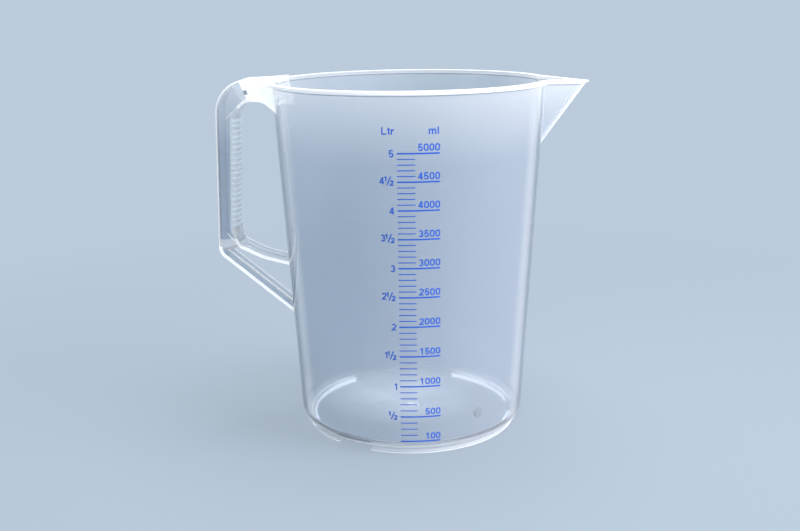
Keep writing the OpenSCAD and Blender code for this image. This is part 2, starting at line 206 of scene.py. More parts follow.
# ---------------------------------------------------------------- meshes


def add_object(name: str, mesh: Mesh) -> Object:
    """A new object in the scene.

    Args:
        name: Its name.
        mesh: Its mesh.

    Returns:
        The object.
    """
    obj = bpy.data.objects.new(name, mesh)
    bpy.context.scene.collection.objects.link(obj)
    return obj


def smooth_mesh(mesh: Mesh, sharp_degrees: float) -> None:
    """Shades a mesh smooth, with sharp edges past an angle."""
    mesh.shade_smooth()
    mesh.set_sharp_from_angle(angle=math.radians(sharp_degrees))


def solid(
    name: str, points: Sequence[Place], faces: Sequence[Sequence[int]], sharp_degrees: float = 35
) -> Object:
    """An object from points in millimetres, with its faces pointing outwards.

    Args:
        name: The object's name.
        points: The points.
        faces: Faces as lists of point numbers.
        sharp_degrees: The angle past which an edge stays sharp.

    Returns:
        The object.
    """
    mesh = bpy.data.meshes.new(name)
    mesh.from_pydata([[c * MM for c in p] for p in points], [], faces)
    work = bmesh.new()
    work.from_mesh(mesh)
    bmesh.ops.recalc_face_normals(work, faces=work.faces)
    work.to_mesh(mesh)
    work.free()
    smooth_mesh(mesh, sharp_degrees)
    return add_object(name, mesh)


def loft(name: str, rings: Sequence[Sequence[Place]], sharp_degrees: float = 35) -> Object:
    """A closed solid through rings of points, capped at both ends.

    Args:
        name: The object's name.
        rings: Rings with the same number of points each, in millimetres.
        sharp_degrees: The angle past which an edge stays sharp.

    Returns:
        The object.
    """
    n = len(rings[0])
    points = [p for ring in rings for p in ring]
    faces: list[list[int]] = [list(range(n)), list(range(len(points) - n, len(points)))]
    for i in range(len(rings) - 1):
        for j in range(n):
            k = (j + 1) % n
            faces.append([i * n + j, i * n + k, (i + 1) * n + k, (i + 1) * n + j])
    return solid(name, points, faces, sharp_degrees)


def united(name: str, pieces: Sequence[Object]) -> Object:
    """One object from several closed ones, without the faces inside.

    Args:
        name: The new object's name.
        pieces: The objects, which are deleted apart from the first.

    Returns:
        The first object, which now holds the union.
    """
    base = pieces[0]
    for other in pieces[1:]:
        modifier = base.modifiers.new("join", "BOOLEAN")
        modifier.operation = "UNION"
        modifier.solver = "MANIFOLD"
        modifier.object = other
        graph = bpy.context.evaluated_depsgraph_get()
        mesh = bpy.data.meshes.new_from_object(base.evaluated_get(graph))
        base.modifiers.clear()
        base.data = mesh
        bpy.data.objects.remove(other)
    base.name = base.data.name = name
    return base


# ---------------------------------------------------------------- node trees


@dataclass
class Sketch:
    """Short hand for building a node tree."""

    tree: NodeTree

    def add(self, kind: str, inputs: dict | None = None, **settings: object) -> Node:
        """Adds a node.

        Args:
            kind: The node's type.
            inputs: Values or sockets for its inputs, by name or number.
            settings: Properties of the node.

        Returns:
            The node.
        """
        node = self.tree.nodes.new(kind)
        for key, value in settings.items():
            setattr(node, key, value)
        for key, value in (inputs or {}).items():
            self.feed(node.inputs[key], value)
        return node

    def out(self, kind: str, inputs: dict | None = None, **settings: object) -> NodeSocket:
        """Adds a node and gives its first output."""
        return self.add(kind, inputs, **settings).outputs[0]

    def feed(self, socket: NodeSocket, value: object) -> None:
        """Links a socket to another, or sets its value.

        Args:
            socket: The input.
            value: The other socket, or the value.
        """
        if isinstance(value, NodeSocket):
            self.tree.links.new(value, socket)
        else:
            socket.default_value = value

    def calc(self, operation: str, *values: object) -> NodeSocket:
        """The result of a Math node."""
        return self.out("ShaderNodeMath", dict(enumerate(values)), operation=operation)

    def product(self, *values: object) -> NodeSocket:
        """The product of sockets and numbers."""
        return reduce(lambda a, b: self.calc("MULTIPLY", a, b), values)

    def blend(self, share: object, a: object, b: object) -> NodeSocket:
        """A mix of two colours, the first where the share is 0."""
        return self.add("ShaderNodeMix", {0: share, 6: a, 7: b}, data_type="RGBA").outputs[2]

    def between(self, value: object, low: float, high: float, *target: float) -> NodeSocket:
        """A value moved from one range into another, and kept within it."""
        return self.out("ShaderNodeMapRange", dict(enumerate((value, low, high, *target))))

    def place(self) -> NodeSocket:
        """A point's place in its object, in metres."""
        return self.add("ShaderNodeTexCoord").outputs["Object"]

    def axes(self, place: NodeSocket) -> NodeOutputs:
        """A place's X, Y and Z."""
        return self.add("ShaderNodeSeparateXYZ", {0: place}).outputs

    def distance(self, point: tuple[float, float, float]) -> NodeSocket:
        """A place's distance from a point of its object."""
        node = self.add("ShaderNodeVectorMath", {0: self.place(), 1: point}, operation="DISTANCE")
        return node.outputs["Value"]


def emptied(owner: Material | World) -> Sketch:
    """Empties the node tree of a material or a world.

    Args:
        owner: The material or the world.

    Returns:
        A sketch of its tree.
    """
    owner.use_nodes = True
    owner.node_tree.nodes.clear()
    return Sketch(owner.node_tree)


def new_group(
    name: str, kind: str, inputs: dict[str, float | str], outputs: dict[str, str]
) -> Sketch:
    """An empty node group with its sockets.

    Args:
        name: The group's name.
        kind: Type of the tree.
        inputs: Names, with a default number or a socket type.
        outputs: Names and socket types.

    Returns:
        A sketch of the group's tree.
    """
    tree = bpy.data.node_groups.new(name, kind)
    for label, value in inputs.items():
        typed = value if isinstance(value, str) else "NodeSocketFloat"
        socket = tree.interface.new_socket(label, in_out="INPUT", socket_type=typed)
        if not isinstance(value, str):
            socket.default_value = value
    for label, typed in outputs.items():
        tree.interface.new_socket(label, in_out="OUTPUT", socket_type=typed)
    return Sketch(tree)


@dataclass
class MouldMarks:
    """Shader groups that the plastic and the ink share."""

    haze: NodeTree = field(init=False)
    grain: NodeTree = field(init=False)

    def __post_init__(self) -> None:
        """Builds both groups."""
        self.haze = self.build_haze()
        self.grain = self.build_grain()

    def noise(self, s: Sketch, place: NodeSocket, scale: NodeSocket, detail: float) -> NodeSocket:
        """Noise at a place, with a scale and a detail."""
        return s.out("ShaderNodeTexNoise", {"Vector": place, "Scale": scale, "Detail": detail})

    def build_haze(self) -> NodeTree:
        """Clouds and flow lines that run up the wall from the gate.

        Returns:
            The group, with a mask as its output.
        """
        sizes = {"Cloud Scale": 9.0, "Flow Scale": 40.0, "Flow Share": 0.3}
        s = new_group("mould_haze", "ShaderNodeTree", sizes, {"Mask": "NodeSocketFloat"})
        scale, flow_scale, share = list(s.add("NodeGroupInput").outputs)[:3]
        place = s.place()
        cloud = self.noise(s, place, scale, 3.0)
        drawn = s.out("ShaderNodeMapping", {"Vector": place, "Scale": (1.0, 1.0, 0.06)})
        flow = self.noise(s, drawn, flow_scale, 2.0)
        mixed = s.out("ShaderNodeMix", {0: share, 2: cloud, 3: flow})
        s.add("NodeGroupOutput", {0: s.between(mixed, 0.3, 0.7, 0.0, 1.0)})
        return s.tree

    def build_grain(self) -> NodeTree:
        """Fine unevenness of a moulded or printed surface.

        Returns:
            The group, with a height as its output.
        """
        sizes = {"Scale": 700.0, "Wave Scale": 60.0, "Wave Share": 0.5}
        s = new_group("surface_grain", "ShaderNodeTree", sizes, {"Height": "NodeSocketFloat"})
        scale, wave_scale, share = list(s.add("NodeGroupInput").outputs)[:3]
        place = s.place()
        fine, wave = self.noise(s, place, scale, 2.0), self.noise(s, place, wave_scale, 1.0)
        s.add("NodeGroupOutput", {0: s.out("ShaderNodeMix", {0: share, 2: fine, 3: wave})})
        return s.tree


WHITE = (1.0, 1.0, 1.0, 1.0)
PAINTED_EDGE_SHADE = (0.36, 0.44, 0.53, 1.0)
POLYPROPYLENE_IOR = 1.49
BUMP_DEPTH = 0.0002
# How far a face turns away where the painted highlight strip starts and ends, and where the painted
# shade strip starts.
STRIP_RISE, STRIP_FALL, DARK_RISE = (0.57, 0.67), (0.73, 0.79), (0.75, 0.82)
# Places in metres for the painted strips and the painted rim light: above the rounded corner, under
# the rim, on the side seen, from handle to spout.
CORNER_Z, RIM_Z, NEAR_Y, ACROSS_X = (0.014, 0.032), (0.205, 0.252), (0.02, 0.07), (-0.08, 0.06)
GATE_GLOW_MIDDLE, GATE_GLOW_REACH = (-0.012, 0.022, 0.007), (0.015, 0.065)
# How strong the painted light band under the rim is on the far side and from handle to spout, and
# the painted glow near the gate and its clouds.
FAR_SHARE, ACROSS_GAIN, GATE_GLOW_GAIN, GATE_GLOW_CLOUDS = 0.1, (0.92, 1.5), 4.0, (0.2, 0.8, 0.5, 1.0)


@dataclass(frozen=True)
class Finish:
    """A finish: its colours, its gloss, its marks and the light and shade painted into it."""

    name: str
    colour: Colour
    haze_colour: Colour
    transmission: float
    rough_low: float
    rough_high: float
    grain_scale: float
    bump: float
    flow_share: float
    # Painted light and shade: a glow in the haze colour, highlight and shade strips at the outline,
    # a light band under the rim, the glow's strength in those zones, and where the glow fades in
    # along x.
    glow: float = 0.0
    edge_shade: float = 0.0
    rim_light: float = 0.0
    zone_glow: float = 0.0
    fade: Point | None = None

    def zones(self, s: Sketch) -> tuple[NodeSocket, NodeSocket, NodeSocket]:
        """Masks of the painted highlight strip near the outline, the painted shade strip at it and
        the painted light band under the rim.

        Args:
            s: The material's sketch.

        Returns:
            The three masks.
        """
        facing = s.add("ShaderNodeLayerWeight", {"Blend": 0.5}).outputs["Facing"]
        rise = s.between(facing, *STRIP_RISE, 0.0, 1.0)
        fall = s.between(facing, *STRIP_FALL, 1.0, 0.0)
        x, y, z = s.axes(s.place())
        upright = s.between(z, *CORNER_Z, 0.0, self.edge_shade)
        high, near = s.between(z, *RIM_Z, 0.0, 1.0), s.between(y, *NEAR_Y, 1.0, FAR_SHARE)
        rim = s.product(high, near, s.between(x, *ACROSS_X, *ACROSS_GAIN), self.rim_light)
        dark = s.product(s.between(facing, *DARK_RISE, 0.0, 1.0), upright)
        return s.product(rise, fall, self.edge_shade), dark, rim

    def gate_glow(self, s: Sketch, haze: NodeSocket) -> NodeSocket:
        """Mask of the painted cloudy glow near the gate, in the middle of the floor."""
        reach = s.between(s.distance(GATE_GLOW_MIDDLE), *GATE_GLOW_REACH, GATE_GLOW_GAIN, 0.0)
        return s.product(reach, s.between(haze, *GATE_GLOW_CLOUDS))

    def make(self, marks: MouldMarks) -> Material:
        """The finish as a material.

        Args:
            marks: The shared shader groups.

        Returns:
            The material.
        """
        material = bpy.data.materials.new(self.name)
        s = emptied(material)
        haze = s.add("ShaderNodeGroup", node_tree=marks.haze)
        haze.inputs["Flow Share"].default_value = self.flow_share
        grain = s.add("ShaderNodeGroup", node_tree=marks.grain)
        grain.inputs["Scale"].default_value = self.grain_scale
        mask = haze.outputs[0]
        colour = s.blend(mask, self.colour, self.haze_colour)
        glow: object = self.glow
        # Painted highlight strip and painted rim light in white, a painted shade strip at the
        # outline, and their glow together with the painted glow near the gate.
        if self.edge_shade > 0:
            light, dark, rim = self.zones(s)
            colour = s.blend(light, s.blend(rim, colour, WHITE), WHITE)
            colour = s.blend(dark, colour, PAINTED_EDGE_SHADE)
            zones = s.calc("ADD", s.calc("ADD", light, rim), self.gate_glow(s, mask))
            glow = s.product(zones, self.zone_glow)
        # The painted glow fades in along x.
        if self.fade:
            glow = s.product(s.between(s.axes(s.place())["X"], *self.fade, 0.0, 1.0), self.glow)
        relief = {"Height": grain.outputs[0], "Strength": self.bump, "Distance": BUMP_DEPTH}
        values = {
            "Base Color": colour,
            "Roughness": s.between(mask, 0.0, 1.0, self.rough_low, self.rough_high),
            "IOR": POLYPROPYLENE_IOR,
            "Transmission Weight": self.transmission,
            # The glow is painted light, in the haze colour.
            "Emission Color": self.haze_colour,
            "Emission Strength": glow,
            "Normal": s.out("ShaderNodeBump", relief),
        }
        s.add("ShaderNodeOutputMaterial", {"Surface": s.out("ShaderNodeBsdfPrincipled", values)})
        return material


# The milky wall, with painted highlight and shade strips at its outline, a painted light band under
# the rim and a painted glow near the gate.
MILKY = Finish(
    name="milky_polypropylene",
    colour=(0.79, 0.84, 0.90, 1.0),
    haze_colour=(0.85, 0.89, 0.95, 1.0),
    transmission=0.87,
    rough_low=0.04,
    rough_high=0.08,
    grain_scale=900.0,
    bump=0.03,
    flow_share=0.35,
    edge_shade=0.85,
    rim_light=0.75,
    zone_glow=0.055,
)
# Thick plastic: whiter and less clear, with a glow that is painted light.
THICK = Finish(
    name="thick_glowing_polypropylene",
    colour=(0.90, 0.93, 0.96, 1.0),
    haze_colour=(0.95, 0.97, 0.99, 1.0),
    transmission=0.25,
    rough_low=0.12,
    rough_high=0.2,
    grain_scale=900.0,
    bump=0.05,
    flow_share=0.3,
    glow=0.18,
)
# Darker plastic: painted shade under the rim bead, in the handle's notch and at the thumb ribs'
# ends; the wall's mark takes it too.
DULL_SHADE = replace(
    THICK,
    name="shaded_polypropylene",
    colour=(0.42, 0.48, 0.54, 1.0),
    haze_colour=(0.5, 0.56, 0.62, 1.0),
    transmission=0.6,
    rough_low=0.15,
    rough_high=0.3,
    glow=0.0,
)
# Paler plastic with a faint glow: painted light.
PALE = replace(
    THICK, name="pale_polypropylene", colour=(0.85, 0.92, 1.0, 1.0), transmission=0.62, glow=0.06
)
# Plastic that glows strongly: painted light on the foot ring.
LIT = replace(THICK, name="glowing_polypropylene", transmission=0.0, glow=1.4)
# A painted glow at the handle's root, fading in along x.
ROOT = replace(THICK, name="root_polypropylene", glow=0.29, fade=(-0.1265, -0.1175))
# A brighter painted glow on band edges, under the foot ring and on the gate nub.
BRIGHT = replace(THICK, name="edge_polypropylene", glow=0.38)
# The grip's ribs, lightened by a painted glow.
RIBBED = replace(
    THICK,
    name="rib_polypropylene",
    haze_colour=(0.84, 0.94, 1.0, 1.0),
    transmission=0.68,
    glow=0.12,
)
# Darker stripes of painted shade on the handle's bands.
SHADE = replace(
    MILKY,
    name="shaded_band_polypropylene",
    colour=(0.70, 0.76, 0.83, 1.0),
    haze_colour=(0.76, 0.81, 0.88, 1.0),
    edge_shade=0.0,
)
COATS = (MILKY, THICK, DULL_SHADE, PALE, LIT, ROOT, SHADE, BRIGHT, RIBBED)
BLUE_INK = Finish(
    name="blue_print",
    colour=(0.004, 0.075, 0.5, 1.0),
    haze_colour=(0.012, 0.11, 0.6, 1.0),
    transmission=0.0,
    rough_low=0.35,
    rough_high=0.5,
    grain_scale=2500.0,
    bump=0.1,
    flow_share=0.1,
)


def paint(obj: Object, choose: Callable[[float, float, float], int]) -> None:
    """Chooses a piece's materials by the centre of each face, in millimetres."""
    for face in obj.data.polygons:
        face.material_index = choose(*(face.center / MM))


def dress(obj: Object, materials: Sequence[Material], slot: Slot, *nodes: str) -> None:
    """Gives a new piece its finishes and its body, and hides the CAD nodes that it stands for.

    Args:
        obj: The piece.
        materials: Its materials, in the order of its faces' material numbers.
        slot: The record's material slot; not used.
        nodes: The CAD nodes.
    """
    numbers = [face.material_index for face in obj.data.polygons]
    obj.data.materials.clear()
    for material in materials:
        obj.data.materials.append(material)
    obj.data.polygons.foreach_set("material_index", numbers)
    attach(obj, BODY)
    if nodes:
        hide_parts(*nodes)
    LOG.info("%s: %d faces", obj.name, len(obj.data.polygons))


def repaint(node: str, material: Material) -> None:
    """Gives a CAD node that stays a better material.

    Args:
        node: The node.
        material: The material.
    """
    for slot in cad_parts[node].material_slots:
        slot.material = material
    LOG.info("%s: CAD node kept, with %s", node, material.name)


def row_tree(
    name: str, sizes: dict[str, float], shape: Callable[[Sketch, NodeOutputs], NodeSocket]
) -> NodeTree:
    """Geometry nodes that set copies of a shape in a row.

    Args:
        name: The tree's name.
        sizes: Its inputs for the shape, with their values.
        shape: Draws the shape, from the tree's sketch and inputs.

    Returns:
        The tree.
    """
    ends = {"Count": "NodeSocketInt", "Start": "NodeSocketVector", "Offset": "NodeSocketVector"}
    inputs = {**ends, **sizes, "Material": "NodeSocketMaterial"}
    s = new_group(name, "GeometryNodeTree", inputs, {"Geometry": "NodeSocketGeometry"})
    i = s.add("NodeGroupInput").outputs
    places = s.out("GeometryNodeMeshLine", {"Count": i[0], "Start Location": i[1], "Offset": i[2]})
    copies = s.out("GeometryNodeInstanceOnPoints", {"Points": places, "Instance": shape(s, i)})
    real = s.out("GeometryNodeRealizeInstances", {0: copies})
    smooth = s.out("GeometryNodeSetShadeSmooth", {0: real})
    dressed = s.out("GeometryNodeSetMaterial", {0: smooth, "Material": i["Material"]})
    s.add("NodeGroupOutput", {0: dressed})
    return s.tree


def row_places(count: int, first: Place, step: Place) -> dict[str, object]:
    """Values of a row tree's places, from millimetres in x and z.

    Args:
        count: Number of copies.
        first: Place of the first one.
        step: From each to the next.

    Returns:
        The values, by the names of the inputs.
    """
    start, offset = ((x * MM, 0.0, z * MM) for x, z in (first, step))
    return {"Count": count, "Start": start, "Offset": offset}


def grown(tree: NodeTree, name: str, values: dict[str, object]) -> Object:
    """A plain mesh object from a geometry node tree.

    Args:
        tree: The tree.
        name: The object's name.
        values: Values of its inputs, by their names.

    Returns:
        The object.
    """
    holder = add_object(name + "_holder", bpy.data.meshes.new(name + "_holder"))
    modifier = holder.modifiers.new("grow", "NODES")
    modifier.node_group = tree
    for item in tree.interface.items_tree:
        if item.in_out == "INPUT" and item.name in values:
            modifier[item.identifier] = values[item.name]
    graph = bpy.context.evaluated_depsgraph_get()
    mesh = bpy.data.meshes.new_from_object(holder.evaluated_get(graph))
    holder.modifiers.clear()
    bpy.data.objects.remove(holder)
    mesh.name = name
    return add_object(name, mesh)


# ---------------------------------------------------------------- the vessel


@dataclass
class Vessel:
    """Wall, floor, foot ring, rim bead and spout as one thin shell. Sizes in millimetres."""

    base_r: float = 83.1
    mouth_r: float = 97.2
    height: float = 253.8
    wall: float = 1.7
    floor_z: float = 7.0
    floor_t: float = 2.2
    corner_r: float = 8.5
    cavity_corner_r: float = 6.2
    foot_h: float = 2.8
    foot_r: float = 78.6
    recess_r: float = 75.1
    foot_gaps: int = 3
    foot_gap_angle: float = 21.0
    foot_gap_steps: tuple[float, ...] = (-0.2, -0.07, 0.07, 0.2)
    gate_r: float = 3.0
    gate_h: float = 1.0
    rim_over: float = 3.4
    rim_h: float = 2.7
    rim_edge_r: float = 0.8
    spout_reach: float = 31.0
    spout_dip: float = 2.0
    keel_foot: Point = (94.617, 207.3)
    keel_slope: float = 0.7316
    keel_corner: float = 1.36
    inner_shift: float = 3.07
    flank_slope: float = 0.682
    bead_slope: float = 0.817
    outer_blunt: float = 0.008
    inner_blunt: float = 0.004
    fold: float = 1.4
    keel_fine_angle: float = 1.5
    keel_columns: int = 24
    spout_columns: int = 46
    wall_columns: int = 252
    column_clear: float = 0.3
    spout_rows: int = 46
    wall_rows: int = 12
    spout_from_z: float = 204.0
    spout_half_angle: float = 20.0
    # Painted light on the foot ring and the spout: directions where the ring stays unpainted, where
    # its strong glow starts, and the widths of the keel's glow and of its paler strip.
    ring_fades: Point = (66.0, 110.0)
    ring_lit_y: float = -30.0
    keel_half_angle: float = 0.45
    keel_pale_angle: float = 1.3
    mark_angle: float = -54.2
    mark_z: float = 27.7
    mark_r: float = 3.7
    mark_h: float = 0.28
    mark_rings: tuple[Point, ...] = (
        (1.0, -0.3), (1.0, 0.02), (0.9, 0.45), (0.75, 0.75), (0.5, 0.93), (0.2, 1.0)
    )
    tip_run: float = 5.0

    @property
    def taper(self) -> float:
        """Growth of the wall's radius with height."""
        return (self.mouth_r - self.base_r) / self.height

    @property
    def lean(self) -> float:
        """The wall's lean in radians."""
        return math.atan(self.taper)

    def level(self, thick: float) -> float:
        """A thickness of the leaning wall, measured level."""
        return thick / math.cos(self.lean)

    def wall_r(self, z: float) -> float:
        """Outer radius of the wall at height z."""
        return self.base_r + self.taper * z

    def wedge_r(self, angle: float, z: float, back: float, blunt: float) -> float:
        """Distance from the axis to the spout's flank.

        Args:
            angle: Direction in radians, 0 towards the tip.
            z: Height.
            back: How far the flank lies behind the outer one.
            blunt: Roundness of the keel.

        Returns:
            The distance, 0 where the flank isn't met.
        """
        if abs(angle) > math.pi / 3:
            return 0.0
        foot_x, foot_z = self.keel_foot
        corner = foot_x + (z - foot_z) * self.keel_slope + self.keel_corner - back
        sine = math.hypot(math.sin(angle), blunt)
        return corner * self.flank_slope / (sine + self.flank_slope * math.cos(angle))

    def outer_r(self, angle: float, z: float) -> float:
        """Outer radius of wall or spout in a direction at height z."""
        flank = self.wedge_r(angle, z, 0.0, self.outer_blunt)
        return smooth_max(self.wall_r(z), flank, self.fold)

    def inner_r(self, angle: float, z: float) -> float:
        """Inner radius of wall or spout in a direction at height z."""
        flank = self.wedge_r(angle, z, self.inner_shift, self.inner_blunt)
        return smooth_max(self.wall_r(z) - self.level(self.wall), flank, self.fold)

    def bead_r(self, angle: float) -> float:
        """Outer radius of the rim bead, which follows the spout to its tip.

        Args:
            angle: Direction in radians, 0 towards the tip.

        Returns:
            The radius.
        """
        round_r = self.mouth_r + self.rim_over
        if abs(angle) > math.pi / 3:
            return round_r
        tip = (self.mouth_r + self.spout_reach) * self.bead_slope
        sine = math.hypot(math.sin(angle), 0.002)
        return smooth_max(round_r, tip / (sine + self.bead_slope * math.cos(angle)), 2.0)

    def top_z(self, x: float) -> float:
        """Height of the rim or the spout's edge at a distance towards the tip."""
        share = min(max((x - self.mouth_r) / self.spout_reach, 0.0), 1.0)
        return self.height - self.spout_dip * share

    def bead_h(self, x: float) -> float:
        """Height of the bead at a distance towards the tip, where it runs to a point."""
        left = (self.mouth_r + self.spout_reach - x) / self.tip_run
        return self.rim_h * min(max(left, 0.0) * 0.6 + 0.4, 1.0)

    def ring_share(self, angle: float) -> float:
        """Whether the foot ring stands in a direction.

        Args:
            angle: The direction in radians.

        Returns:
            1 in the ring, 0 in its gaps, between them at their edges.
        """
        pitch = 360 / self.foot_gaps
        off = abs((math.degrees(angle) + pitch / 2) % pitch - pitch / 2)
        half, soft = self.foot_gap_angle / 2, self.foot_gap_steps[-1]
        return smooth_step(half - soft, half + soft, off)

    def columns(self) -> list[float]:
        """Directions of the shell's columns, closer together in the spout.

        Returns:
            The directions in radians.
        """
        keel, half = self.keel_fine_angle, self.spout_half_angle
        fine = spread(-keel, keel, self.keel_columns)[:-1]
        spout = spread(keel, half, self.spout_columns)[:-1]
        rest = spread(half, 360 - half, self.wall_columns)[:-1]
        edges = []
        for i in range(self.foot_gaps):
            for side in (-1, 1):
                middle = i * 360 / self.foot_gaps + side * self.foot_gap_angle / 2
                edges += [middle + step for step in self.foot_gap_steps]
        plain = fine + spout + [360 - a for a in spout] + rest
        kept = [a for a in plain if min(abs(half_turn(a - e)) for e in edges) > self.column_clear]
        return [math.radians(a) for a in sorted({half_turn(a) for a in kept + edges})]

    def underside(self, angle: float) -> list[Point]:
        """Gate nub, recess, foot ring and outer corner in one direction.

        Args:
            angle: The direction in radians.

        Returns:
            Points of radius and height, from the axis outwards.
        """
        low = self.floor_z - self.floor_t
        nub = low - self.gate_h
        g = self.gate_r
        inner, outer = self.recess_r, self.foot_r
        points = [(g * 0.4, nub), (g - 0.4, nub), (g - 0.1, nub + 0.1), (g, nub + 0.4)]
        points += [(g, low - 0.3), (g + 0.3, low)]
        points += [(g + (inner - g) * share, low) for share in (0.1, 0.3, 0.5, 0.7, 0.85, 0.95)]
        points += [(inner - 0.6, low), (inner - 0.15, low - 0.15), (inner, low - 0.6)]
        centre_z = self.foot_h + self.corner_r
        centre_r = self.wall_r(centre_z) - self.level(self.corner_r)

        def arc_z(r: float) -> float:
            """Height of the rounded corner's underside."""
            return centre_z - math.sqrt(self.corner_r**2 - max(r - centre_r, 0.0) ** 2)

        last = (outer + 0.15, arc_z(outer + 0.15))
        ring = [(inner, 0.6), (inner + 0.17, 0.17), (inner + 0.6, 0.0), (outer - 0.6, 0.0)]
        ring += [(outer - 0.17, 0.17), (outer, 0.6), (outer, arc_z(outer) - 0.3), last]
        gap = [(inner, 3.9), (inner + 0.08, 3.2)]
        gap += [(inner + d, arc_z(inner + d)) for d in (0.5, 1.2, 1.9, 2.5, 3.1)] + [last]
        share = self.ring_share(angle)
        for a, b in zip(gap, ring):
            points.append((a[0] + (b[0] - a[0]) * share, a[1] + (b[1] - a[1]) * share))
        start = -math.acos((outer + 0.15 - centre_r) / self.corner_r)
        middle = (centre_r, centre_z)
        around = spread(start, -self.lean, 10)[1:]
        return points + [on_circle(middle, self.corner_r, a) for a in around]

    def section(self, angle: float) -> list[Point]:
        """The shell's whole section in one direction.

        Args:
            angle: The direction in radians.

        Returns:
            Points of radius and height, from under the floor over the rim to its upper side.
        """
        points = self.underside(angle)
        low_z = points[-1][1]
        cosine = math.cos(angle)
        heights = spread(low_z, self.spout_from_z, self.wall_rows)[1:-1]
        points += [(self.outer_r(angle, z), z) for z in heights]
        z_high = self.height - self.rim_h
        for _ in range(6):
            reach = self.outer_r(angle, z_high) * cosine
            z_high = self.top_z(reach) - self.bead_h(reach)
        heights = spread(self.spout_from_z, z_high, self.spout_rows)
        points += [(self.outer_r(angle, z), z) for z in heights]
        bead = self.bead_r(angle)
        top, height = self.top_z(bead * cosine), self.bead_h(bead * cosine)
        edge = min(self.rim_edge_r, height * 0.4)
        low = top - height
        points.append((min(points[-1][0] + 0.3, bead - edge - 0.02), z_high))
        points.append((bead - edge, low))
        bends = [share * math.pi / 2 for share in (0.0, 0.35, 0.7, 1.0)]
        points += [on_circle((bead - edge, low + edge), edge, a - math.pi / 2) for a in bends[1:]]
        points += [on_circle((bead - edge, top - edge), edge, a) for a in bends]
        z_in = self.top_z(self.inner_r(angle, self.height) * cosine)
        for _ in range(3):
            z_in = self.top_z(self.inner_r(angle, z_in) * cosine)
        r_in = self.inner_r(angle, z_in)
        points.append((r_in + 0.9, self.top_z((r_in + 0.9) * cosine)))
        points += [(r_in + 0.5, z_in), (r_in + 0.15, z_in - 0.15)]
        heights = spread(z_in - 0.5, self.spout_from_z, self.spout_rows)
        points += [(self.inner_r(angle, z), z) for z in heights]
        centre_z = self.floor_z + self.cavity_corner_r
        centre_r = self.wall_r(centre_z) - self.level(self.wall + self.cavity_corner_r)
        heights = spread(self.spout_from_z, centre_z, self.wall_rows)[1:-1]
        points += [(self.inner_r(angle, z), z) for z in heights]
        middle, around = (centre_r, centre_z), spread(-self.lean, -math.pi / 2, 8)
        points += [on_circle(middle, self.cavity_corner_r, a) for a in around]
        return points + [(centre_r * share, self.floor_z) for share in (0.8, 0.5, 0.2)]

    def shell(self) -> Object:
        """The closed shell.

        Returns:
            The object.
        """
        angles = self.columns()
        sections = [self.section(a) for a in angles]
        rows, count = len(sections[0]), len(angles)
        points = []
        for angle, line in zip(angles, sections):
            points += [(*on_circle((0.0, 0.0), r, angle), z) for r, z in line]
        bottom, top = len(points), len(points) + 1
        points += [(0.0, 0.0, self.floor_z - self.floor_t - self.gate_h), (0.0, 0.0, self.floor_z)]
        faces: list[list[int]] = []
        for i in range(count):
            here, there = i * rows, (i + 1) % count * rows
            faces.append([bottom, there, here])
            faces.append([top, here + rows - 1, there + rows - 1])
            faces += [[here + j, there + j, there + j + 1, here + j + 1] for j in range(rows - 1)]
        return solid("vessel_shell", points, faces, 50)

    def coat(self, x: float, y: float, z: float) -> Coat:
        """The finish of a place on the shell, with light and shade painted into it.

        Args:
            x: Place towards the spout.
            y: Place away from the side seen.
            z: Height.

        Returns:
            The finish.
        """
        r, angle = math.hypot(x, y), math.atan2(y, x)
        hidden = self.ring_fades[0] < math.degrees(angle) < self.ring_fades[1]
        under, corner_top = self.floor_z - self.floor_t, self.floor_z + 1.2
        # Painted light on the foot ring where it isn't hidden: a strong glow on its inner side away
        # from the front, a glowing bottom and back, paler faces elsewhere.
        if self.ring_share(angle) > 0.5 and not hidden and z < corner_top:
            if abs(r - self.recess_r) < 0.25 and z < under:
                return Coat.LIT if y > self.ring_lit_y else Coat.PALE
            if r > self.recess_r and z < 0.7:
                return Coat.BRIGHT
            if r > self.foot_r and z < self.foot_h + 0.5:
                return Coat.THIN if y < 0 else Coat.THICK
            if r > self.recess_r and z < self.floor_z - 0.1:
                return Coat.PALE
        # The outer corner is painted paler: painted light.
        if r > self.foot_r + 1.0 and z < corner_top:
            return Coat.PALE
        # The gate nub glows: a painted highlight.
        if r < self.gate_r + 0.2 and z < under - 0.2:
            return Coat.BRIGHT
        low = self.top_z(x) - self.bead_h(x)
        # The rim bead: thicker plastic, whiter, with a glow of painted light.
        if z > low - 0.1 and r > self.inner_r(angle, z) + 0.1:
            return Coat.THICK
        # Painted highlights on the spout: the keel glows, its fold and the keel's sides are paler.
        if z > self.keel_foot[1]:
            off_keel = abs(math.degrees(angle))
            flank = self.wedge_r(angle, z, 0.0, self.outer_blunt)
            at_fold = abs(flank - self.wall_r(z)) < 0.35 and r > self.wall_r(z) - 0.5
            if off_keel < self.keel_half_angle:
                return Coat.THICK
            if at_fold or off_keel < self.keel_pale_angle:
                return Coat.PALE
        # A strip of painted shadow under the bead.
        if z > low - 1.1 and r > self.inner_r(angle, z) + 0.8:
            return Coat.DULL_SHADE
        return Coat.THIN

    def mark(self) -> Object:
        """The round blank mark low on the wall, with a rounded edge.

        Returns:
            The object.
        """
        around = Matrix.Rotation(math.radians(self.mark_angle), 3, "Z")
        rings = []
        for share, out in self.mark_rings:
            r = self.mark_r * share
            flat = [on_circle((0.0, self.mark_z), r, a) for a in turns(48)]
            ring = [Vector((self.wall_r(z) + out * self.mark_h, side, z)) for side, z in flat]
            rings.append([around @ point for point in ring])
        return loft("wall_mark_disc", rings)

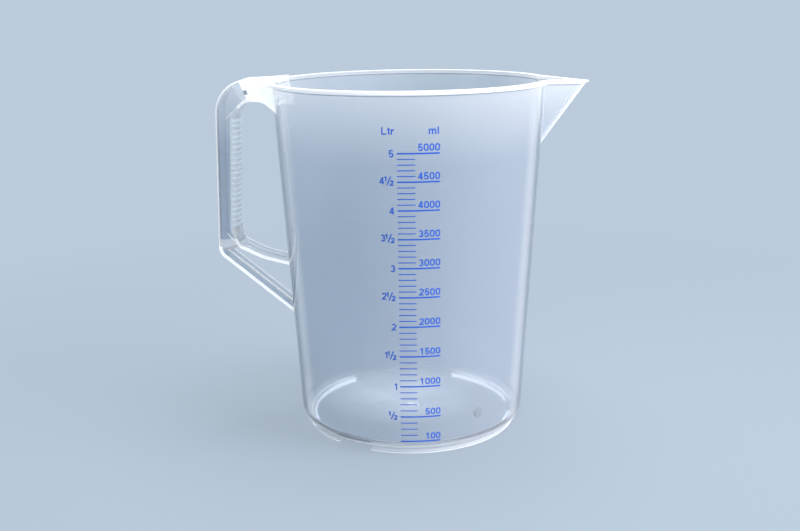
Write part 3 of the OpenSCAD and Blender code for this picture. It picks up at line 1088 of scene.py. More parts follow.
    def build(self, plastics: Sequence[Material]) -> None:
        """Builds and dresses the vessel.

        Args:
            plastics: The plastic's finishes, in the order of Coat.
        """
        body = ("vessel_wall", "vessel_floor", "foot_ring", "gate_nub")
        edge = ("rim_bead", "spout_shell", "spout_bead")
        shell = self.shell()
        paint(shell, self.coat)
        dress(shell, plastics, Slot.PLASTIC, *body, *edge)
        # The mark disc takes the same darker finish that paints shade elsewhere.
        dress(self.mark(), [plastics[Coat.DULL_SHADE]], Slot.PLASTIC, "wall_mark")


# ---------------------------------------------------------------- the handle


@dataclass
class Handle:
    """Bands, side walls and ribs of the handle. Sizes in millimetres, seen in x and z."""

    vessel: Vessel
    reach: float = 43.7
    height: float = 171.0
    top: float = 255.3
    depth: float = 26.0
    band: float = 2.4
    side: float = 1.8
    inset: float = 1.0
    edge_r: float = 0.55
    sunk: float = 0.8
    band_clear: float = 0.4
    side_clear: float = 0.3
    root_half: float = 25.0
    root_x: float = 115.2
    lip: float = 1.1
    curl_w: float = 7.0
    curl_d: float = 4.2
    outer_corners: tuple[Point, ...] = ((-0.3, 0.0), (0.912, 0.0), (1.0, 0.74), (-0.32, 1.022))
    outer_radii: tuple[float, ...] = (0.0, 24.0, 10.0, 0.0)
    arm_corners: tuple[Point, Point] = ((-0.27, 0.192), (0.039, 0.091))
    grip_high: Point = (0.562, 0.091)
    grip_low: Point = (0.676, 0.697)
    brace_corners: tuple[Point, Point] = ((0.235, 0.752), (-0.34, 0.787))
    opening_radii: tuple[float, ...] = (0.0, 14.6, 11.5, 8.0, 60.0, 0.0)
    skirt_line: tuple[Point, ...] = (
        (0.955, 0.7225), (0.84, 0.726), (0.77, 0.7235), (0.7, 0.714), (0.635, 0.698)
    )
    grip_fades: tuple[Point, Point] = ((3.0, 11.0), (12.0, 4.0))
    grip_from: float = 0.4
    arm_to: float = 0.45
    grip_narrower: float = 0.8
    grip_edge: float = 3.2
    arm_x: float = -112.0
    rung_counts: tuple[int, int, int] = (10, 12, 26)
    rung_clear: float = 1.4
    rung_heights: Point = (252.9, 240.0)
    outer_marks: tuple[Point, Point] = ((-113.8, 253.0), (-138.6, 231.0))
    inner_marks: tuple[Point, Point] = ((-110.6, 242.1), (-124.6, 227.0))
    skirt_bend: tuple[tuple[int, float], ...] = ((2, 0.75), (3, 0.45), (4, 0.2))
    ridge_r: float = 0.55
    ridges: tuple = (((-114.0, 242.2), (-130.9, 227.6)), ((-124.0, 132.6), (-134.4, 144.0)))
    bead_r: float = 0.9
    arm_drop: float = 34.0
    rest_drop: float = 20.0
    # Places of painted light and shade: the rungs where the root's glow and its paler zone end, the
    # band's stripes, the flange's shade, the shaded notch and the paler lower edge of the side
    # walls.
    root_rung: int = 12
    pale_rung: int = 14
    stripes: tuple[float, float, float] = (-4.0, 0.0, 7.0)
    flange_dark_z: float = 133.65
    notch: Point = (-114.9, 245.0)
    notch_r: float = 1.6
    skirt_pale_z: float = 141.0
    rungs: list[list[Vector]] = field(init=False)
    rib_count: int = 21
    rib_pitch: float = 3.8
    rib_r: float = 1.1
    rib_out: float = 0.6
    rib_short: float = 0.5
    thumb_rib_count: int = 3
    thumb_rib_pitch: float = 4.2
    thumb_rib_w: float = 2.1
    thumb_rib_l: float = 18.2
    thumb_rib_h: float = 0.5

    def __post_init__(self) -> None:
        """Keeps the rungs of the side walls."""
        self.rungs = self.side_rungs()

    @property
    def arm_z(self) -> float:
        """Height down to which the handle's root and its upper arm reach."""
        return self.top - self.arm_drop

    def at(self, x_share: float, z_share: float) -> Vector:
        """A point from shares of the handle's reach and height."""
        x = -(self.vessel.mouth_r + x_share * self.reach)
        return Vector((x, self.top - z_share * self.height))

    def outer_path(self) -> list[Vector]:
        """The handle's outer line, from the rim to the lower flange's end."""
        return round_path([self.at(*c) for c in self.outer_corners], self.outer_radii, 16)

    def opening_path(self) -> list[Vector]:
        """The finger opening's outline, from the vessel round the grip and back."""
        shares = [*self.arm_corners, self.grip_high, self.grip_low, *self.brace_corners]
        return round_path([self.at(*share) for share in shares], self.opening_radii, 14)

    def half_width(self, x: float) -> float:
        """Half the handle's depth at a distance from the axis, wider at the root."""
        share = min(max((x + self.root_x) / (self.root_x - self.vessel.mouth_r), 0.0), 1.1)
        return self.depth / 2 + (self.root_half - self.depth / 2) * share * share

    def inside(self, point: Vector, depth: float = 0.0) -> bool:
        """Whether a point lies deeper in the vessel's outer form than a depth."""
        return math.hypot(point.x, point.y) < self.vessel.wall_r(point.z) - depth

    def on_wall(self, start: Vector, direction: Vector) -> Vector:
        """Where a line from a point meets the wall's sunk surface.

        Args:
            start: A point outside.
            direction: The line's direction.

        Returns:
            The point on the surface.
        """
        low, high = 0.0, 60.0
        for _ in range(40):
            middle = (low + high) / 2
            if self.inside(start + direction * middle, self.sunk):
                high = middle
            else:
                low = middle
        return start + direction * high

    def beside(self, point: Vector, step: Vector, deep: float, y: float) -> Vector:
        """A place in space, some steps away from a point in x and z."""
        return Vector((point.x + step.x * deep, y, point.y + step.y * deep))

    def outside(self, rings: Sequence[Sequence[Vector]], clear: float) -> list[Sequence[Vector]]:
        """The rings that stay clear of the wall."""
        return [ring for ring in rings if not any(self.inside(p, -clear) for p in ring)]

    def landing(self, near: Sequence[Vector], far: Sequence[Vector]) -> list[Vector]:
        """The ring on the wall that two rings lead to, the nearer one first."""
        return [self.on_wall(a, (a - b).normalized()) for a, b in zip(near, far)]

    def on_grip(self, point: Vector) -> float:
        """1 where a point of the opening's outline lies in the grip's middle, 0 away from it."""
        return self.grip_share(point.y) if point.x < self.at(self.grip_from, 0).x else 0.0

    def inner_lip(self, point: Vector) -> float:
        """Thickness of the finger band's edge at a point: thin only on the grip."""
        full = self.band - 0.1
        return full + (self.lip - full) * self.on_grip(point)

    def outer_lip(self, point: Vector) -> float:
        """Thickness of the outer band's edge at a point: thin only where the side walls stand."""
        full, skirt_z = self.band - 0.1, self.at(*self.skirt_line[0]).y
        return full + (self.lip - full) * smooth_step(skirt_z + 0.5, skirt_z + 5.0, point.y)

    def band_ring(self, half: float, curl: float, lip: float) -> list[Point]:
        """A band's section: a flat bar with rounded edges whose sides may curl inwards.

        Args:
            half: Half its width.
            curl: 0 for a flat band, 1 for sides that curl fully.
            lip: Thickness of its edges.

        Returns:
            Points across the handle and into the band.
        """
        e, t = self.edge_r, self.band
        across = [i / 12 for i in range(13)]
        flat = [-(half - e) + 2 * (half - e) * (0.5 - 0.5 * math.cos(math.pi * s)) for s in across]
        arcs = [(math.sin(a), math.cos(a)) for a in (math.pi / 6, math.pi / 3)]
        step = half - self.inset - 0.15
        edge = [(half - e + e * s, e - e * c) for s, c in arcs]
        edge += [(half, e), (half, lip - 0.2), (half - 0.2, lip), (step, lip)]
        inner = [y * step / (half - e) for y in flat]
        ring = [(y, 0.0) for y in flat] + edge
        ring += [(y, t) for y in reversed(inner)]
        ring += [(-y, d) for y, d in reversed(edge)]
        curled = []
        for y, d in ring:
            over = min(max(abs(y) - (half - self.curl_w), 0.0) / self.curl_w, 1.0)
            curled.append((y, d + curl * self.curl_d * (1 - math.sqrt(1 - over * over))))
        return curled

    def swept(
        self,
        name: str,
        path: Sequence[Vector],
        inwards: float,
        half: Callable[[Vector], float],
        curl: Callable[[Vector], float],
        lip: Callable[[Vector], float],
    ) -> Object:
        """A band along a path, both ends of it on the vessel's wall.

        Args:
            name: The object's name.
            path: The path's points in x and z.
            inwards: 1 if the band lies to the path's left, -1 if to its right.
            half: Half the width at a point.
            curl: Share of the curl at a point.
            lip: Thickness of the edges at a point.

        Returns:
            The object.
        """
        rails = []
        for point, normal in zip(path, normals_along(path)):
            ring = self.band_ring(half(point), curl(point), lip(point))
            rails.append([self.beside(point, normal * inwards, d, y) for y, d in ring])
        kept = self.outside(rails, self.band_clear)
        return loft(name, [self.landing(kept[0], kept[1]), *kept, self.landing(kept[-1], kept[-2])])

    def dense(self, path: Sequence[Vector], step: float = 2.0) -> list[Vector]:
        """A path with extra points.

        Args:
            path: The path's points.
            step: The longest stretch that is left.

        Returns:
            The denser path.
        """
        result = [path[0]]
        for a, b in zip(path, path[1:]):
            count = max(1, math.ceil((b - a).length / step))
            result += [a.lerp(b, i / count) for i in range(1, count + 1)]
        return result

    def outer_band(self) -> Object:
        """Thumb rest, outer band and lower flange in one sweep.

        Returns:
            The object.
        """
        path = self.dense(self.outer_path())

        def half(point: Vector) -> float:
            """Half the width: wide only at the thumb rest's root."""
            wide = point.y > self.top - self.rest_drop
            return self.half_width(point.x) if wide else self.depth / 2

        return self.swept("outer_band", path, 1, half, lambda point: 0.0, self.outer_lip)

    def grip_share(self, z: float) -> float:
        """Whether a height lies in the grip's middle.

        Args:
            z: The height.

        Returns:
            1 in the middle, 0 above and below it, between them where it fades.
        """
        high, low = self.at(*self.grip_high).y, self.at(*self.grip_low).y
        (from_low, to_low), (from_high, to_high) = self.grip_fades
        rise = smooth_step(low + from_low, low + to_low, z)
        return rise * (1 - smooth_step(high - from_high, high - to_high, z))

    def finger_band(self) -> Object:
        """The band round the finger opening, rounded where the fingers go.

        Returns:
            The object.
        """
        path = self.dense(self.opening_path())

        def half(point: Vector) -> float:
            """Half the width: wide at the root, a little narrower on the grip.

            Args:
                point: A point of the path.

            Returns:
                Half the band's width there.
            """
            if point.y > self.arm_z and point.x > self.at(self.arm_to, 0).x:
                return self.half_width(point.x)
            return self.depth / 2 - self.grip_narrower * self.on_grip(point)

        return self.swept("finger_band", path, -1, half, self.on_grip, self.inner_lip)

    def skirt(self, count: int) -> list[Vector]:
        """The curved lower edge of the side walls, from the outer band inwards."""
        return evenly([self.at(*share) for share in self.skirt_line], count)

    def nearest(self, path: Sequence[Vector], mark: Place) -> int:
        """The number of the point nearest to a mark, on the root or the grip."""
        found = [i for i, p in enumerate(path) if p.y >= self.arm_z or p.x <= self.arm_x]
        return min(found, key=lambda i: (path[i] - Vector(mark)).length)

    def rung_ends(self, path: Sequence[Vector], marks: Sequence[Place]) -> list[Vector]:
        """Cuts a path at the points nearest to marks and spaces each stretch evenly.

        Args:
            path: The path's points.
            marks: Places at the ends of the stretches.

        Returns:
            One end of each rung.
        """
        cuts = [self.nearest(path, mark) for mark in marks]
        points: list[Vector] = []
        for a, b, count in zip(cuts, cuts[1:], self.rung_counts):
            points += evenly(path[a : b + 1], count)[:-1]
        return points + [path[cuts[-1]]]

    def side_rungs(self) -> list[list[Vector]]:
        """Rungs between the two bands, from the vessel round the corner and down the grip.

        Returns:
            Rungs of five points each, in x and z.
        """
        edge = self.dense(self.outer_path(), 0.5)
        outer = [p + n * (self.outer_lip(p) + 0.1) for p, n in zip(edge, normals_along(edge))]
        opening = self.dense(self.opening_path(), 1.0)
        inner = []
        for point, normal in zip(opening, normals_along(opening)):
            deep = self.inner_lip(point) + 0.1 + self.grip_edge * self.on_grip(point)
            inner.append(point - normal * deep)
        foot = self.skirt(1)
        high, low = self.rung_heights
        start_x = -(self.vessel.wall_r(low) + self.rung_clear)
        outside = self.rung_ends(outer, [(start_x, high), *self.outer_marks, foot[0]])
        inside = self.rung_ends(inner, [(start_x, low), *self.inner_marks, foot[1]])
        rungs = [[a.lerp(b, j / 4) for j in range(5)] for a, b in zip(outside, inside)]
        rungs[-1] = self.skirt(4)
        straight = [rungs[-1][0].lerp(rungs[-1][-1], j / 4) for j in range(5)]
        bend = [point - plain for point, plain in zip(rungs[-1], straight)]
        for back, share in self.skirt_bend:
            rungs[-back] = [point + off * share for point, off in zip(rungs[-back], bend)]
        return rungs

    def before(self, number: int, x: float, z: float) -> bool:
        """Whether a place at the thumb rest lies on the vessel's side of a rung, in side view."""
        a, b = self.rungs[number][0], self.rungs[number][-1]
        return z > self.arm_z and (b.x - a.x) * (z - a.y) > (b.y - a.y) * (x - a.x)

    def root_coat(self, x: float, z: float) -> Coat:
        """The finish of a flat place on the handle: a painted glow at the root, paler painted
        light, then thin.
        """
        further = Coat.PALE if self.before(self.pale_rung, x, z) else Coat.THIN
        return Coat.ROOT if self.before(self.root_rung, x, z) else further

    def band_coat(self, x: float, y: float, z: float) -> Coat:
        """The finish of a place on a band: edges that glow as painted light, and painted light and
        shade stripes with no wall behind it.

        Args:
            x: Place towards the spout.
            y: Place away from the side seen.
            z: Height.

        Returns:
            The finish.
        """
        low = z < self.at(*self.skirt_line[0]).y + 2.0
        if abs(y) > self.depth / 2 - self.inset and not self.before(self.root_rung, x, z):
            return Coat.BRIGHT if low else Coat.THICK
        if low:
            near, middle, far = self.stripes
            return Coat.SHADE if near < y < middle or y > far else Coat.PALE
        return self.root_coat(x, z)

    def flange_coat(self, x: float, y: float, z: float) -> Coat:
        """The finish of a place on the outer band, whose flange gets painted shade on the side
        seen.
        """
        coat = self.band_coat(x, y, z)
        return Coat.SHADE if coat is Coat.PALE and y < 0 and z < self.flange_dark_z else coat

    def finger_coat(self, x: float, y: float, z: float) -> Coat:
        """The finish of a place on the finger band: painted paler where it curls on the grip."""
        curled = x < self.at(self.grip_from, 0).x and self.grip_share(z) > 0.01
        return Coat.PALE if curled else self.band_coat(x, y, z)

    def side_coat(self, x: float, y: float, z: float) -> Coat:
        """The finish of a place on a side wall: painted shade in the notch, painted light along the
        lower edge.
        """
        flat = Coat.PALE if z < self.skirt_pale_z else self.root_coat(x, z)
        return Coat.DULL_SHADE if math.dist((x, z), self.notch) < self.notch_r else flat

    def ridge(self, side: int, start: Vector, end: Vector) -> Object:
        """A fine ridge on a side wall that runs out at its end.

        Args:
            side: -1 for the near wall, 1 for the far one.
            start: Where it starts, in x and z.
            end: Where it runs out.

        Returns:
            The object.
        """
        across = Vector((-(end - start).y, (end - start).x)).normalized()
        middle_y = side * (self.depth / 2 - self.inset - 0.05)
        rings = []
        for i in range(9):
            centre = start.lerp(end, i / 8)
            r = self.ridge_r * (1 - 0.75 * (i / 8) ** 2)
            ring = []
            for turn in turns(10):
                place = centre + across * (r * math.cos(turn))
                ring.append((place.x, middle_y + r * math.sin(turn), place.y))
            rings.append(ring)
        return loft("ridge", rings)

    def side_wall(self, side: int) -> Object:
        """One side wall of the hollow grip, with its two ridges.

        Args:
            side: -1 for the near one, 1 for the far one.

        Returns:
            The object.
        """
        rings = []
        for rung in self.rungs:
            outward, inward = [], []
            for point in rung:
                wide = point.y > self.top - self.rest_drop and point.x > -self.root_x
                half = (self.half_width(point.x) if wide else self.depth / 2) - self.inset
                outward.append(Vector((point.x, side * half, point.y)))
                inward.append(Vector((point.x, side * (half - self.side), point.y)))
            rings.append(outward + inward[::-1])
        kept = self.outside(rings, self.side_clear)
        wall = loft("wall", [self.landing(kept[0], kept[1]), *kept])
        paint(wall, self.side_coat)
        ridges = [self.ridge(side, Vector(a), Vector(b)) for a, b in self.ridges]
        # The ridges glow as painted light.
        for ridge in ridges:
            paint(ridge, lambda x, y, z: Coat.THICK)
        return united("near_side_wall" if side < 0 else "far_side_wall", [wall, *ridges])

    def flange_bead(self) -> Object:
        """The narrow bead along the middle of the lower flange.

        Returns:
            The object.
        """
        corner_z = self.at(*self.outer_corners[2]).y
        path = [p for p in self.dense(self.outer_path()) if p.y < corner_z]
        rings = []
        for point, normal in zip(path, normals_along(path)):
            flat = [on_circle((self.band + 0.1, 0.0), self.bead_r, a) for a in turns(10)]
            rings.append([self.beside(point, normal, d, y) for d, y in flat])
        kept = self.outside(rings, self.band_clear)
        return loft("flange_bead", [*kept, self.landing(kept[-1], kept[-2])])

    def rib_bar(self, s: Sketch, i: NodeOutputs) -> NodeSocket:
        """One finger rib, which wraps round the grip's rounded face.

        Args:
            s: The sketch of its tree.
            i: The tree's inputs.

        Returns:
            The rib's geometry.
        """
        steps = {"Count": 33, "Offset": (0.0, 1.0, 0.0)}
        points = s.out("GeometryNodeMeshLine", steps, mode="OFFSET")
        share = s.calc("SUBTRACT", s.calc("DIVIDE", s.out("GeometryNodeInputIndex"), 16.0), 1.0)
        y = s.product(s.calc("SINE", s.product(share, math.pi / 2)), i["Half Width"])
        flat = s.calc("SUBTRACT", i["Half Width"], i["Round Width"])
        past = s.calc("MAXIMUM", s.calc("SUBTRACT", s.calc("ABSOLUTE", y), flat), 0.0)
        over = s.calc("DIVIDE", past, i["Round Width"])
        left = s.calc("MAXIMUM", s.calc("SUBTRACT", 1.0, s.product(over, over)), 0.0)
        drop = s.calc("SUBTRACT", 1.0, s.calc("SQRT", left))
        back = s.product(drop, s.product(i["Round Depth"], -1.0))
        bent = s.out("ShaderNodeCombineXYZ", {0: back, 1: y})
        moved = s.out("GeometryNodeSetPosition", {"Geometry": points, "Position": bent})
        line = s.out("GeometryNodeMeshToCurve", {0: moved})
        profile = {"Resolution": 10, "Radius": i["Rib Radius"]}
        circle = s.out("GeometryNodeCurvePrimitiveCircle", profile)
        bar = {"Curve": line, "Profile Curve": circle, "Fill Caps": True}
        return s.out("GeometryNodeCurveToMesh", bar)

    def finger_ribs(self, material: Material) -> Object:
        """The ribs along the grip's inner face.

        Args:
            material: The plastic.

        Returns:
            The object.
        """
        high, low = self.at(*self.grip_high), self.at(*self.grip_low)
        along = (low - high).normalized()
        out = Vector((-along.y, along.x))
        start = ((low - high).length - (self.rib_count - 1) * self.rib_pitch) / 2
        first = high + along * start + out * (self.rib_out - self.rib_r)
        sizes = {
            "Half Width": (self.depth / 2 - self.grip_narrower - self.rib_short) * MM,
            "Round Width": (self.curl_w - self.rib_short) * MM,
            "Round Depth": (self.curl_d - self.rib_short) * MM,
            "Rib Radius": self.rib_r * MM,
        }
        tree = row_tree("finger_ribs", sizes, self.rib_bar)
        places = row_places(self.rib_count, first, along * self.rib_pitch)
        return grown(tree, "grip_ribs", {**places, "Material": material})

    def thumb_bar(self, s: Sketch, i: NodeOutputs) -> NodeSocket:
        """One rounded rib of the thumb rest.

        Args:
            s: The sketch of its tree.
            i: The tree's inputs.

        Returns:
            The rib's geometry.
        """
        ball = s.out("GeometryNodeMeshUVSphere", {"Segments": 24, "Rings": 12, "Radius": 0.5})
        x, y, z = s.axes(s.out("GeometryNodeInputPosition"))
        half_length = s.calc("DIVIDE", s.calc("SUBTRACT", i["Length"], i["Width"]), 2.0)
        y_far = s.calc("ADD", s.product(y, i["Width"]), s.product(s.calc("SIGN", y), half_length))
        z_flat = s.product(z, s.product(i["Height"], 2.0))
        shaped = s.out("ShaderNodeCombineXYZ", {0: s.product(x, i["Width"]), 1: y_far, 2: z_flat})
        return s.out("GeometryNodeSetPosition", {0: ball, "Position": shaped})

    def thumb_ribs(self, material: Material) -> Object:
        """The ribs on the thumb rest.

        Args:
            material: The plastic.

        Returns:
            The object.
        """
        start = self.vessel.mouth_r + self.vessel.rim_over + self.thumb_rib_w / 2
        sizes = {
            "Width": self.thumb_rib_w * MM,
            "Length": self.thumb_rib_l * MM,
            "Height": self.thumb_rib_h * MM,
        }
        tree = row_tree("thumb_ribs", sizes, self.thumb_bar)
        step = (-self.thumb_rib_pitch, 0.0)
        places = row_places(self.thumb_rib_count, (-start, self.top), step)
        return grown(tree, "thumb_rest_ribs", {**places, "Material": material})

    def build(self, plastics: Sequence[Material]) -> None:
        """Builds and dresses the handle.

        Args:
            plastics: The plastic's finishes, in the order of Coat.
        """
        outer, finger, bead = self.outer_band(), self.finger_band(), self.flange_bead()
        paint(outer, self.flange_coat)
        paint(finger, self.finger_coat)
        # The flange's bead glows as painted light.
        paint(bead, lambda x, y, z: Coat.THICK)
        bands = united("handle_bands", [outer, finger, bead])
        smooth_mesh(bands.data, 32)
        nodes = ("thumb_rest", "handle_outer_band", "handle_lower_flange", "handle_finger_band")
        dress(bands, plastics, Slot.PLASTIC, *nodes)
        for side, node in ((-1, "handle_near_side"), (1, "handle_far_side")):
            wall = self.side_wall(side)
            smooth_mesh(wall.data, 35)
            dress(wall, plastics, Slot.PLASTIC, node)
        ribbed = plastics[Coat.RIBBED]
        dress(self.finger_ribs(ribbed), [ribbed], Slot.PLASTIC, "finger_ribs")
        # The thumb ribs glow, with painted shade at their ends.
        ribs = self.thumb_ribs(plastics[Coat.THICK])
        end = self.thumb_rib_l / 2 - 1.0
        paint(ribs, lambda x, y, z: Coat.DULL_SHADE if abs(y) > end else Coat.THICK)
        dress(ribs, plastics, Slot.PLASTIC, "thumb_ribs")


# ---------------------------------------------------------------- the printed scale


@dataclass
class PrintedScale:
    """Lines of the scale. Sizes in millimetres and millilitres."""

    vessel: Vessel
    full_ml: float = 5000.0
    short_ml: float = 100.0
    long_every: int = 5
    full_drop: float = 39.5
    long_line: float = 27.6
    short_line: float = 11.6
    long_w: float = 0.95
    short_w: float = 0.6
    start: float = -7.8
    datum: float = -87.5
    ink: float = 0.12

    def line_sizes(self) -> dict[str, float | str]:
        """Inputs of the lines' tree.

        Returns:
            Their names, with values in metres and radians or a socket type.
        """
        v = self.vessel
        return {
            "Count": "NodeSocketInt",
            "Long Every": float(self.long_every),
            "Full Height": (v.height - self.full_drop) * MM,
            "Floor Height": v.floor_z * MM,
            "Base Radius": v.base_r * MM,
            "Taper": v.taper,
            "Wall": v.wall * MM,
            "Start": self.start * MM,
            "Long Length": self.long_line * MM,
            "Short Length": self.short_line * MM,
            "Long Width": self.long_w * MM,
            "Short Width": self.short_w * MM,
            "Ink": self.ink * MM,
            "Datum": math.radians(self.datum),
            "Material": "NodeSocketMaterial",
        }

    def line_tree(self) -> NodeTree:
        """Geometry nodes that print a line on the wall for each volume.

        Returns:
            The tree.
        """
        sizes = self.line_sizes()
        s = new_group("scale_lines", "GeometryNodeTree", sizes, {"Geometry": "NodeSocketGeometry"})
        i = s.add("NodeGroupInput").outputs
        places = s.out("GeometryNodeMeshLine", {"Count": i["Count"], "Offset": (0.0, 0.0, 0.0)})
        cuts = {"Vertices X": 21, "Vertices Y": 2, "Vertices Z": 2}
        bar = s.out("GeometryNodeMeshCube", {"Size": (1.0, 1.0, 1.0), **cuts})
        lines = s.out("GeometryNodeInstanceOnPoints", {"Points": places, "Instance": bar})
        name = {"Name": "line_number"}
        count_up = s.calc("ADD", s.out("GeometryNodeInputIndex"), 1.0)
        label = {"Geometry": lines, **name, "Value": count_up}
        store = "GeometryNodeStoreNamedAttribute"
        named = s.out(store, label, data_type="FLOAT", domain="INSTANCE")
        real = s.out("GeometryNodeRealizeInstances", {0: named})
        number = s.out("GeometryNodeInputNamedAttribute", name, data_type="FLOAT")
        across, deep, up = s.axes(s.out("GeometryNodeInputPosition"))
        rest = s.calc("MODULO", number, i["Long Every"])
        whole, first = s.calc("LESS_THAN", rest, 0.5), s.calc("LESS_THAN", number, 1.5)
        is_long = s.calc("MAXIMUM", whole, first)

        def choose(short: NodeSocket, long: NodeSocket) -> NodeSocket:
            """A value for short lines or for long ones."""
            return s.calc("ADD", short, s.product(is_long, s.calc("SUBTRACT", long, short)))

        def radius(z: NodeSocket) -> NodeSocket:
            """The wall's outer radius at a height."""
            return s.calc("ADD", i["Base Radius"], s.product(i["Taper"], z))

        length = choose(i["Short Length"], i["Long Length"])
        width = choose(i["Short Width"], i["Long Width"])
        low = s.calc("SUBTRACT", radius(i["Floor Height"]), i["Wall"])
        full = s.calc("SUBTRACT", radius(i["Full Height"]), i["Wall"])
        low_cube, full_cube = s.calc("POWER", low, 3.0), s.calc("POWER", full, 3.0)
        share = s.calc("DIVIDE", number, i["Count"])
        cube = s.calc("ADD", low_cube, s.product(share, s.calc("SUBTRACT", full_cube, low_cube)))
        wider = s.calc("SUBTRACT", s.calc("POWER", cube, 1 / 3), low)
        z_mid = s.calc("ADD", i["Floor Height"], s.calc("DIVIDE", wider, i["Taper"]))
        z = s.calc("ADD", z_mid, s.product(up, width))
        r = s.calc("ADD", radius(z), s.product(s.calc("ADD", deep, 0.5), i["Ink"]))
        along = s.calc("ADD", i["Start"], s.product(s.calc("ADD", across, 0.5), length))
        angle = s.calc("ADD", i["Datum"], s.calc("DIVIDE", along, radius(z_mid)))
        x, y = s.product(r, s.calc("COSINE", angle)), s.product(r, s.calc("SINE", angle))
        bent = s.out("ShaderNodeCombineXYZ", {0: x, 1: y, 2: z})
        moved = s.out("GeometryNodeSetPosition", {"Geometry": real, "Position": bent})
        inked = s.out("GeometryNodeSetMaterial", {0: moved, "Material": i["Material"]})
        s.add("NodeGroupOutput", {0: inked})
        return s.tree

    def build(self, material: Material) -> None:
        """Prints the lines and inks the characters.

        Args:
            material: The ink.
        """
        values = {"Count": round(self.full_ml / self.short_ml), "Material": material}
        lines = grown(self.line_tree(), "scale_lines", values)
        dress(lines, [material], Slot.INK, "scale_long_lines", "scale_short_lines")
        for node in ("litre_numerals", "millilitre_numerals", "unit_headings"):
            repaint(node, material)


# ---------------------------------------------------------------- camera, floor and light


@dataclass(frozen=True)
class SoftLight:
    """A rectangular soft light. Places and sizes in metres."""

    name: str
    place: tuple[float, float, float]
    target: tuple[float, float, float]
    size: tuple[float, float]
    power: float
    colour: tuple[float, float, float] = (1.0, 1.0, 1.0)

    def add(self) -> None:
        """Puts the light in the scene."""
        lamp = bpy.data.lights.new(self.name, "AREA")
        lamp.shape = "RECTANGLE"
        lamp.size, lamp.size_y = self.size
        lamp.energy = self.power
        lamp.color = self.colour
        obj = bpy.data.objects.new(self.name, lamp)
        obj.location = self.place
        aim = Vector(self.target) - Vector(self.place)
        obj.rotation_euler = aim.to_track_quat("-Z", "Y").to_euler()
        obj.visible_glossy = obj.visible_transmission = False
        bpy.context.scene.collection.objects.link(obj)


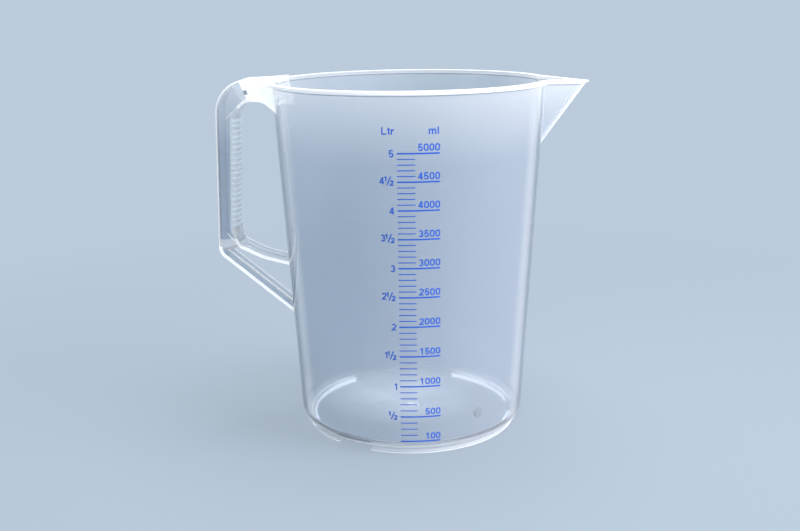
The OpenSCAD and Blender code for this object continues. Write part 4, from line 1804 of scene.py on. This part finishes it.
@dataclass
class Studio:
    """Camera, floor, backdrop colour and lights."""

    camera_distance: float = 0.736822
    camera_height: float = 0.310068
    pitch: float = 14.745
    yaw: float = -0.597
    roll: float = -0.795
    turn: float = 2.5
    focal_pixels: float = 1018.247
    backdrop: Colour = linear_colour(187, 203, 219)
    sky: Colour = (0.93, 0.96, 1.0, 1.0)
    ambient: float = 0.3
    lamps: tuple[SoftLight, ...] = (
        SoftLight("overhead", (0.1, 0.1, 1.2), (0.0, 0.0, 0.2), (0.8, 0.6), 18.0),
        SoftLight(
            "right", (1.1, -0.35, 0.5), (0.0, 0.0, 0.15), (0.7, 0.9), 29.0, (0.97, 0.93, 1.0)
        ),
        SoftLight("front", (-0.15, -1.1, 0.55), (0.0, 0.0, 0.15), (1.0, 0.7), 5.0),
    )
    frame_pixels: int = 800
    floor_half: float = 60000.0
    floor_fade: Point = (0.15, 0.7)
    floor_glow: float = 0.7
    floor_shade: float = 0.5
    floor_rough: float = 0.9

    def camera(self) -> None:
        """Places the camera as in the photograph."""
        p, y, r, t = (math.radians(a) for a in (self.pitch, self.yaw, self.roll, self.turn))
        forward = Vector((math.sin(y) * math.cos(p), math.cos(y) * math.cos(p), -math.sin(p)))
        right = Vector((math.cos(y), -math.sin(y), 0.0))
        up = right.cross(forward)
        side = math.cos(r) * right + math.sin(r) * up
        top = -math.sin(r) * right + math.cos(r) * up
        back = Matrix.Rotation(t, 3, "Z")
        axes = Matrix((back @ side, back @ top, back @ -forward)).transposed()
        place = back @ Vector((0.0, -self.camera_distance, self.camera_height))
        data = bpy.data.cameras.new("camera")
        data.sensor_width = 36.0
        data.lens = self.focal_pixels * data.sensor_width / self.frame_pixels
        data.clip_start = 0.01
        obj = bpy.data.objects.new("camera", data)
        obj.matrix_world = Matrix.Translation(place) @ axes.to_4x4()
        bpy.context.scene.collection.objects.link(obj)
        bpy.context.scene.camera = obj

    def seen(self, s: Sketch) -> NodeSocket:
        """A mask of 1 for what the camera sees directly, in gloss or through the plastic.

        Args:
            s: The sketch of a tree.

        Returns:
            The mask.
        """
        path = s.add("ShaderNodeLightPath").outputs
        straight = s.calc("MAXIMUM", path["Is Camera Ray"], path["Is Glossy Ray"])
        return s.calc("MAXIMUM", straight, path["Is Transmission Ray"])

    def world(self) -> None:
        """The backdrop colour and the soft light from all round."""
        world = bpy.data.worlds.new("studio")
        s = emptied(world)
        shown = s.out("ShaderNodeBackground", {"Color": self.backdrop, "Strength": 1.0})
        light = s.out("ShaderNodeBackground", {"Color": self.sky, "Strength": self.ambient})
        mixed = s.out("ShaderNodeMixShader", {0: self.seen(s), 1: light, 2: shown})
        s.add("ShaderNodeOutputWorld", {"Surface": mixed})
        bpy.context.scene.world = world

    def floor(self) -> None:
        """A plain floor of the backdrop's colour that keeps a soft shadow."""
        half = self.floor_half
        points = [(-half, -half, 0.0), (half, -half, 0.0), (half, half, 0.0), (-half, half, 0.0)]
        floor = solid("floor", points, [[0, 1, 2, 3]])
        material = bpy.data.materials.new("plain_floor")
        s = emptied(material)
        pale = tuple(self.floor_shade * c for c in self.backdrop[:3]) + (1.0,)
        values = {"Base Color": pale, "Roughness": self.floor_rough}
        matt = s.out("ShaderNodeBsdfPrincipled", values)
        glow = s.out("ShaderNodeEmission", {"Color": self.backdrop, "Strength": 1.0})
        away = s.add("ShaderNodeVectorMath", {0: s.place()}, operation="LENGTH").outputs["Value"]
        share = s.product(self.seen(s), s.between(away, *self.floor_fade, self.floor_glow, 1.0))
        mixed = s.out("ShaderNodeMixShader", {0: share, 1: matt, 2: glow})
        s.add("ShaderNodeOutputMaterial", {"Surface": mixed})
        floor.data.materials.append(material)

    def build(self) -> None:
        """Sets up everything that isn't the jug."""
        self.camera()
        self.world()
        self.floor()
        for lamp in self.lamps:
            lamp.add()
        bpy.context.scene.view_settings.view_transform = "Standard"


def main() -> None:
    """Builds the jug's looks and the studio."""
    logging.basicConfig(level=logging.INFO, format="%(name)s: %(message)s")
    marks = MouldMarks()
    plastics = [finish.make(marks) for finish in COATS]
    vessel = Vessel()
    vessel.build(plastics)
    Handle(vessel).build(plastics)
    PrintedScale(vessel).build(BLUE_INK.make(marks))
    Studio().build()


if __name__ == "__main__":
    main()
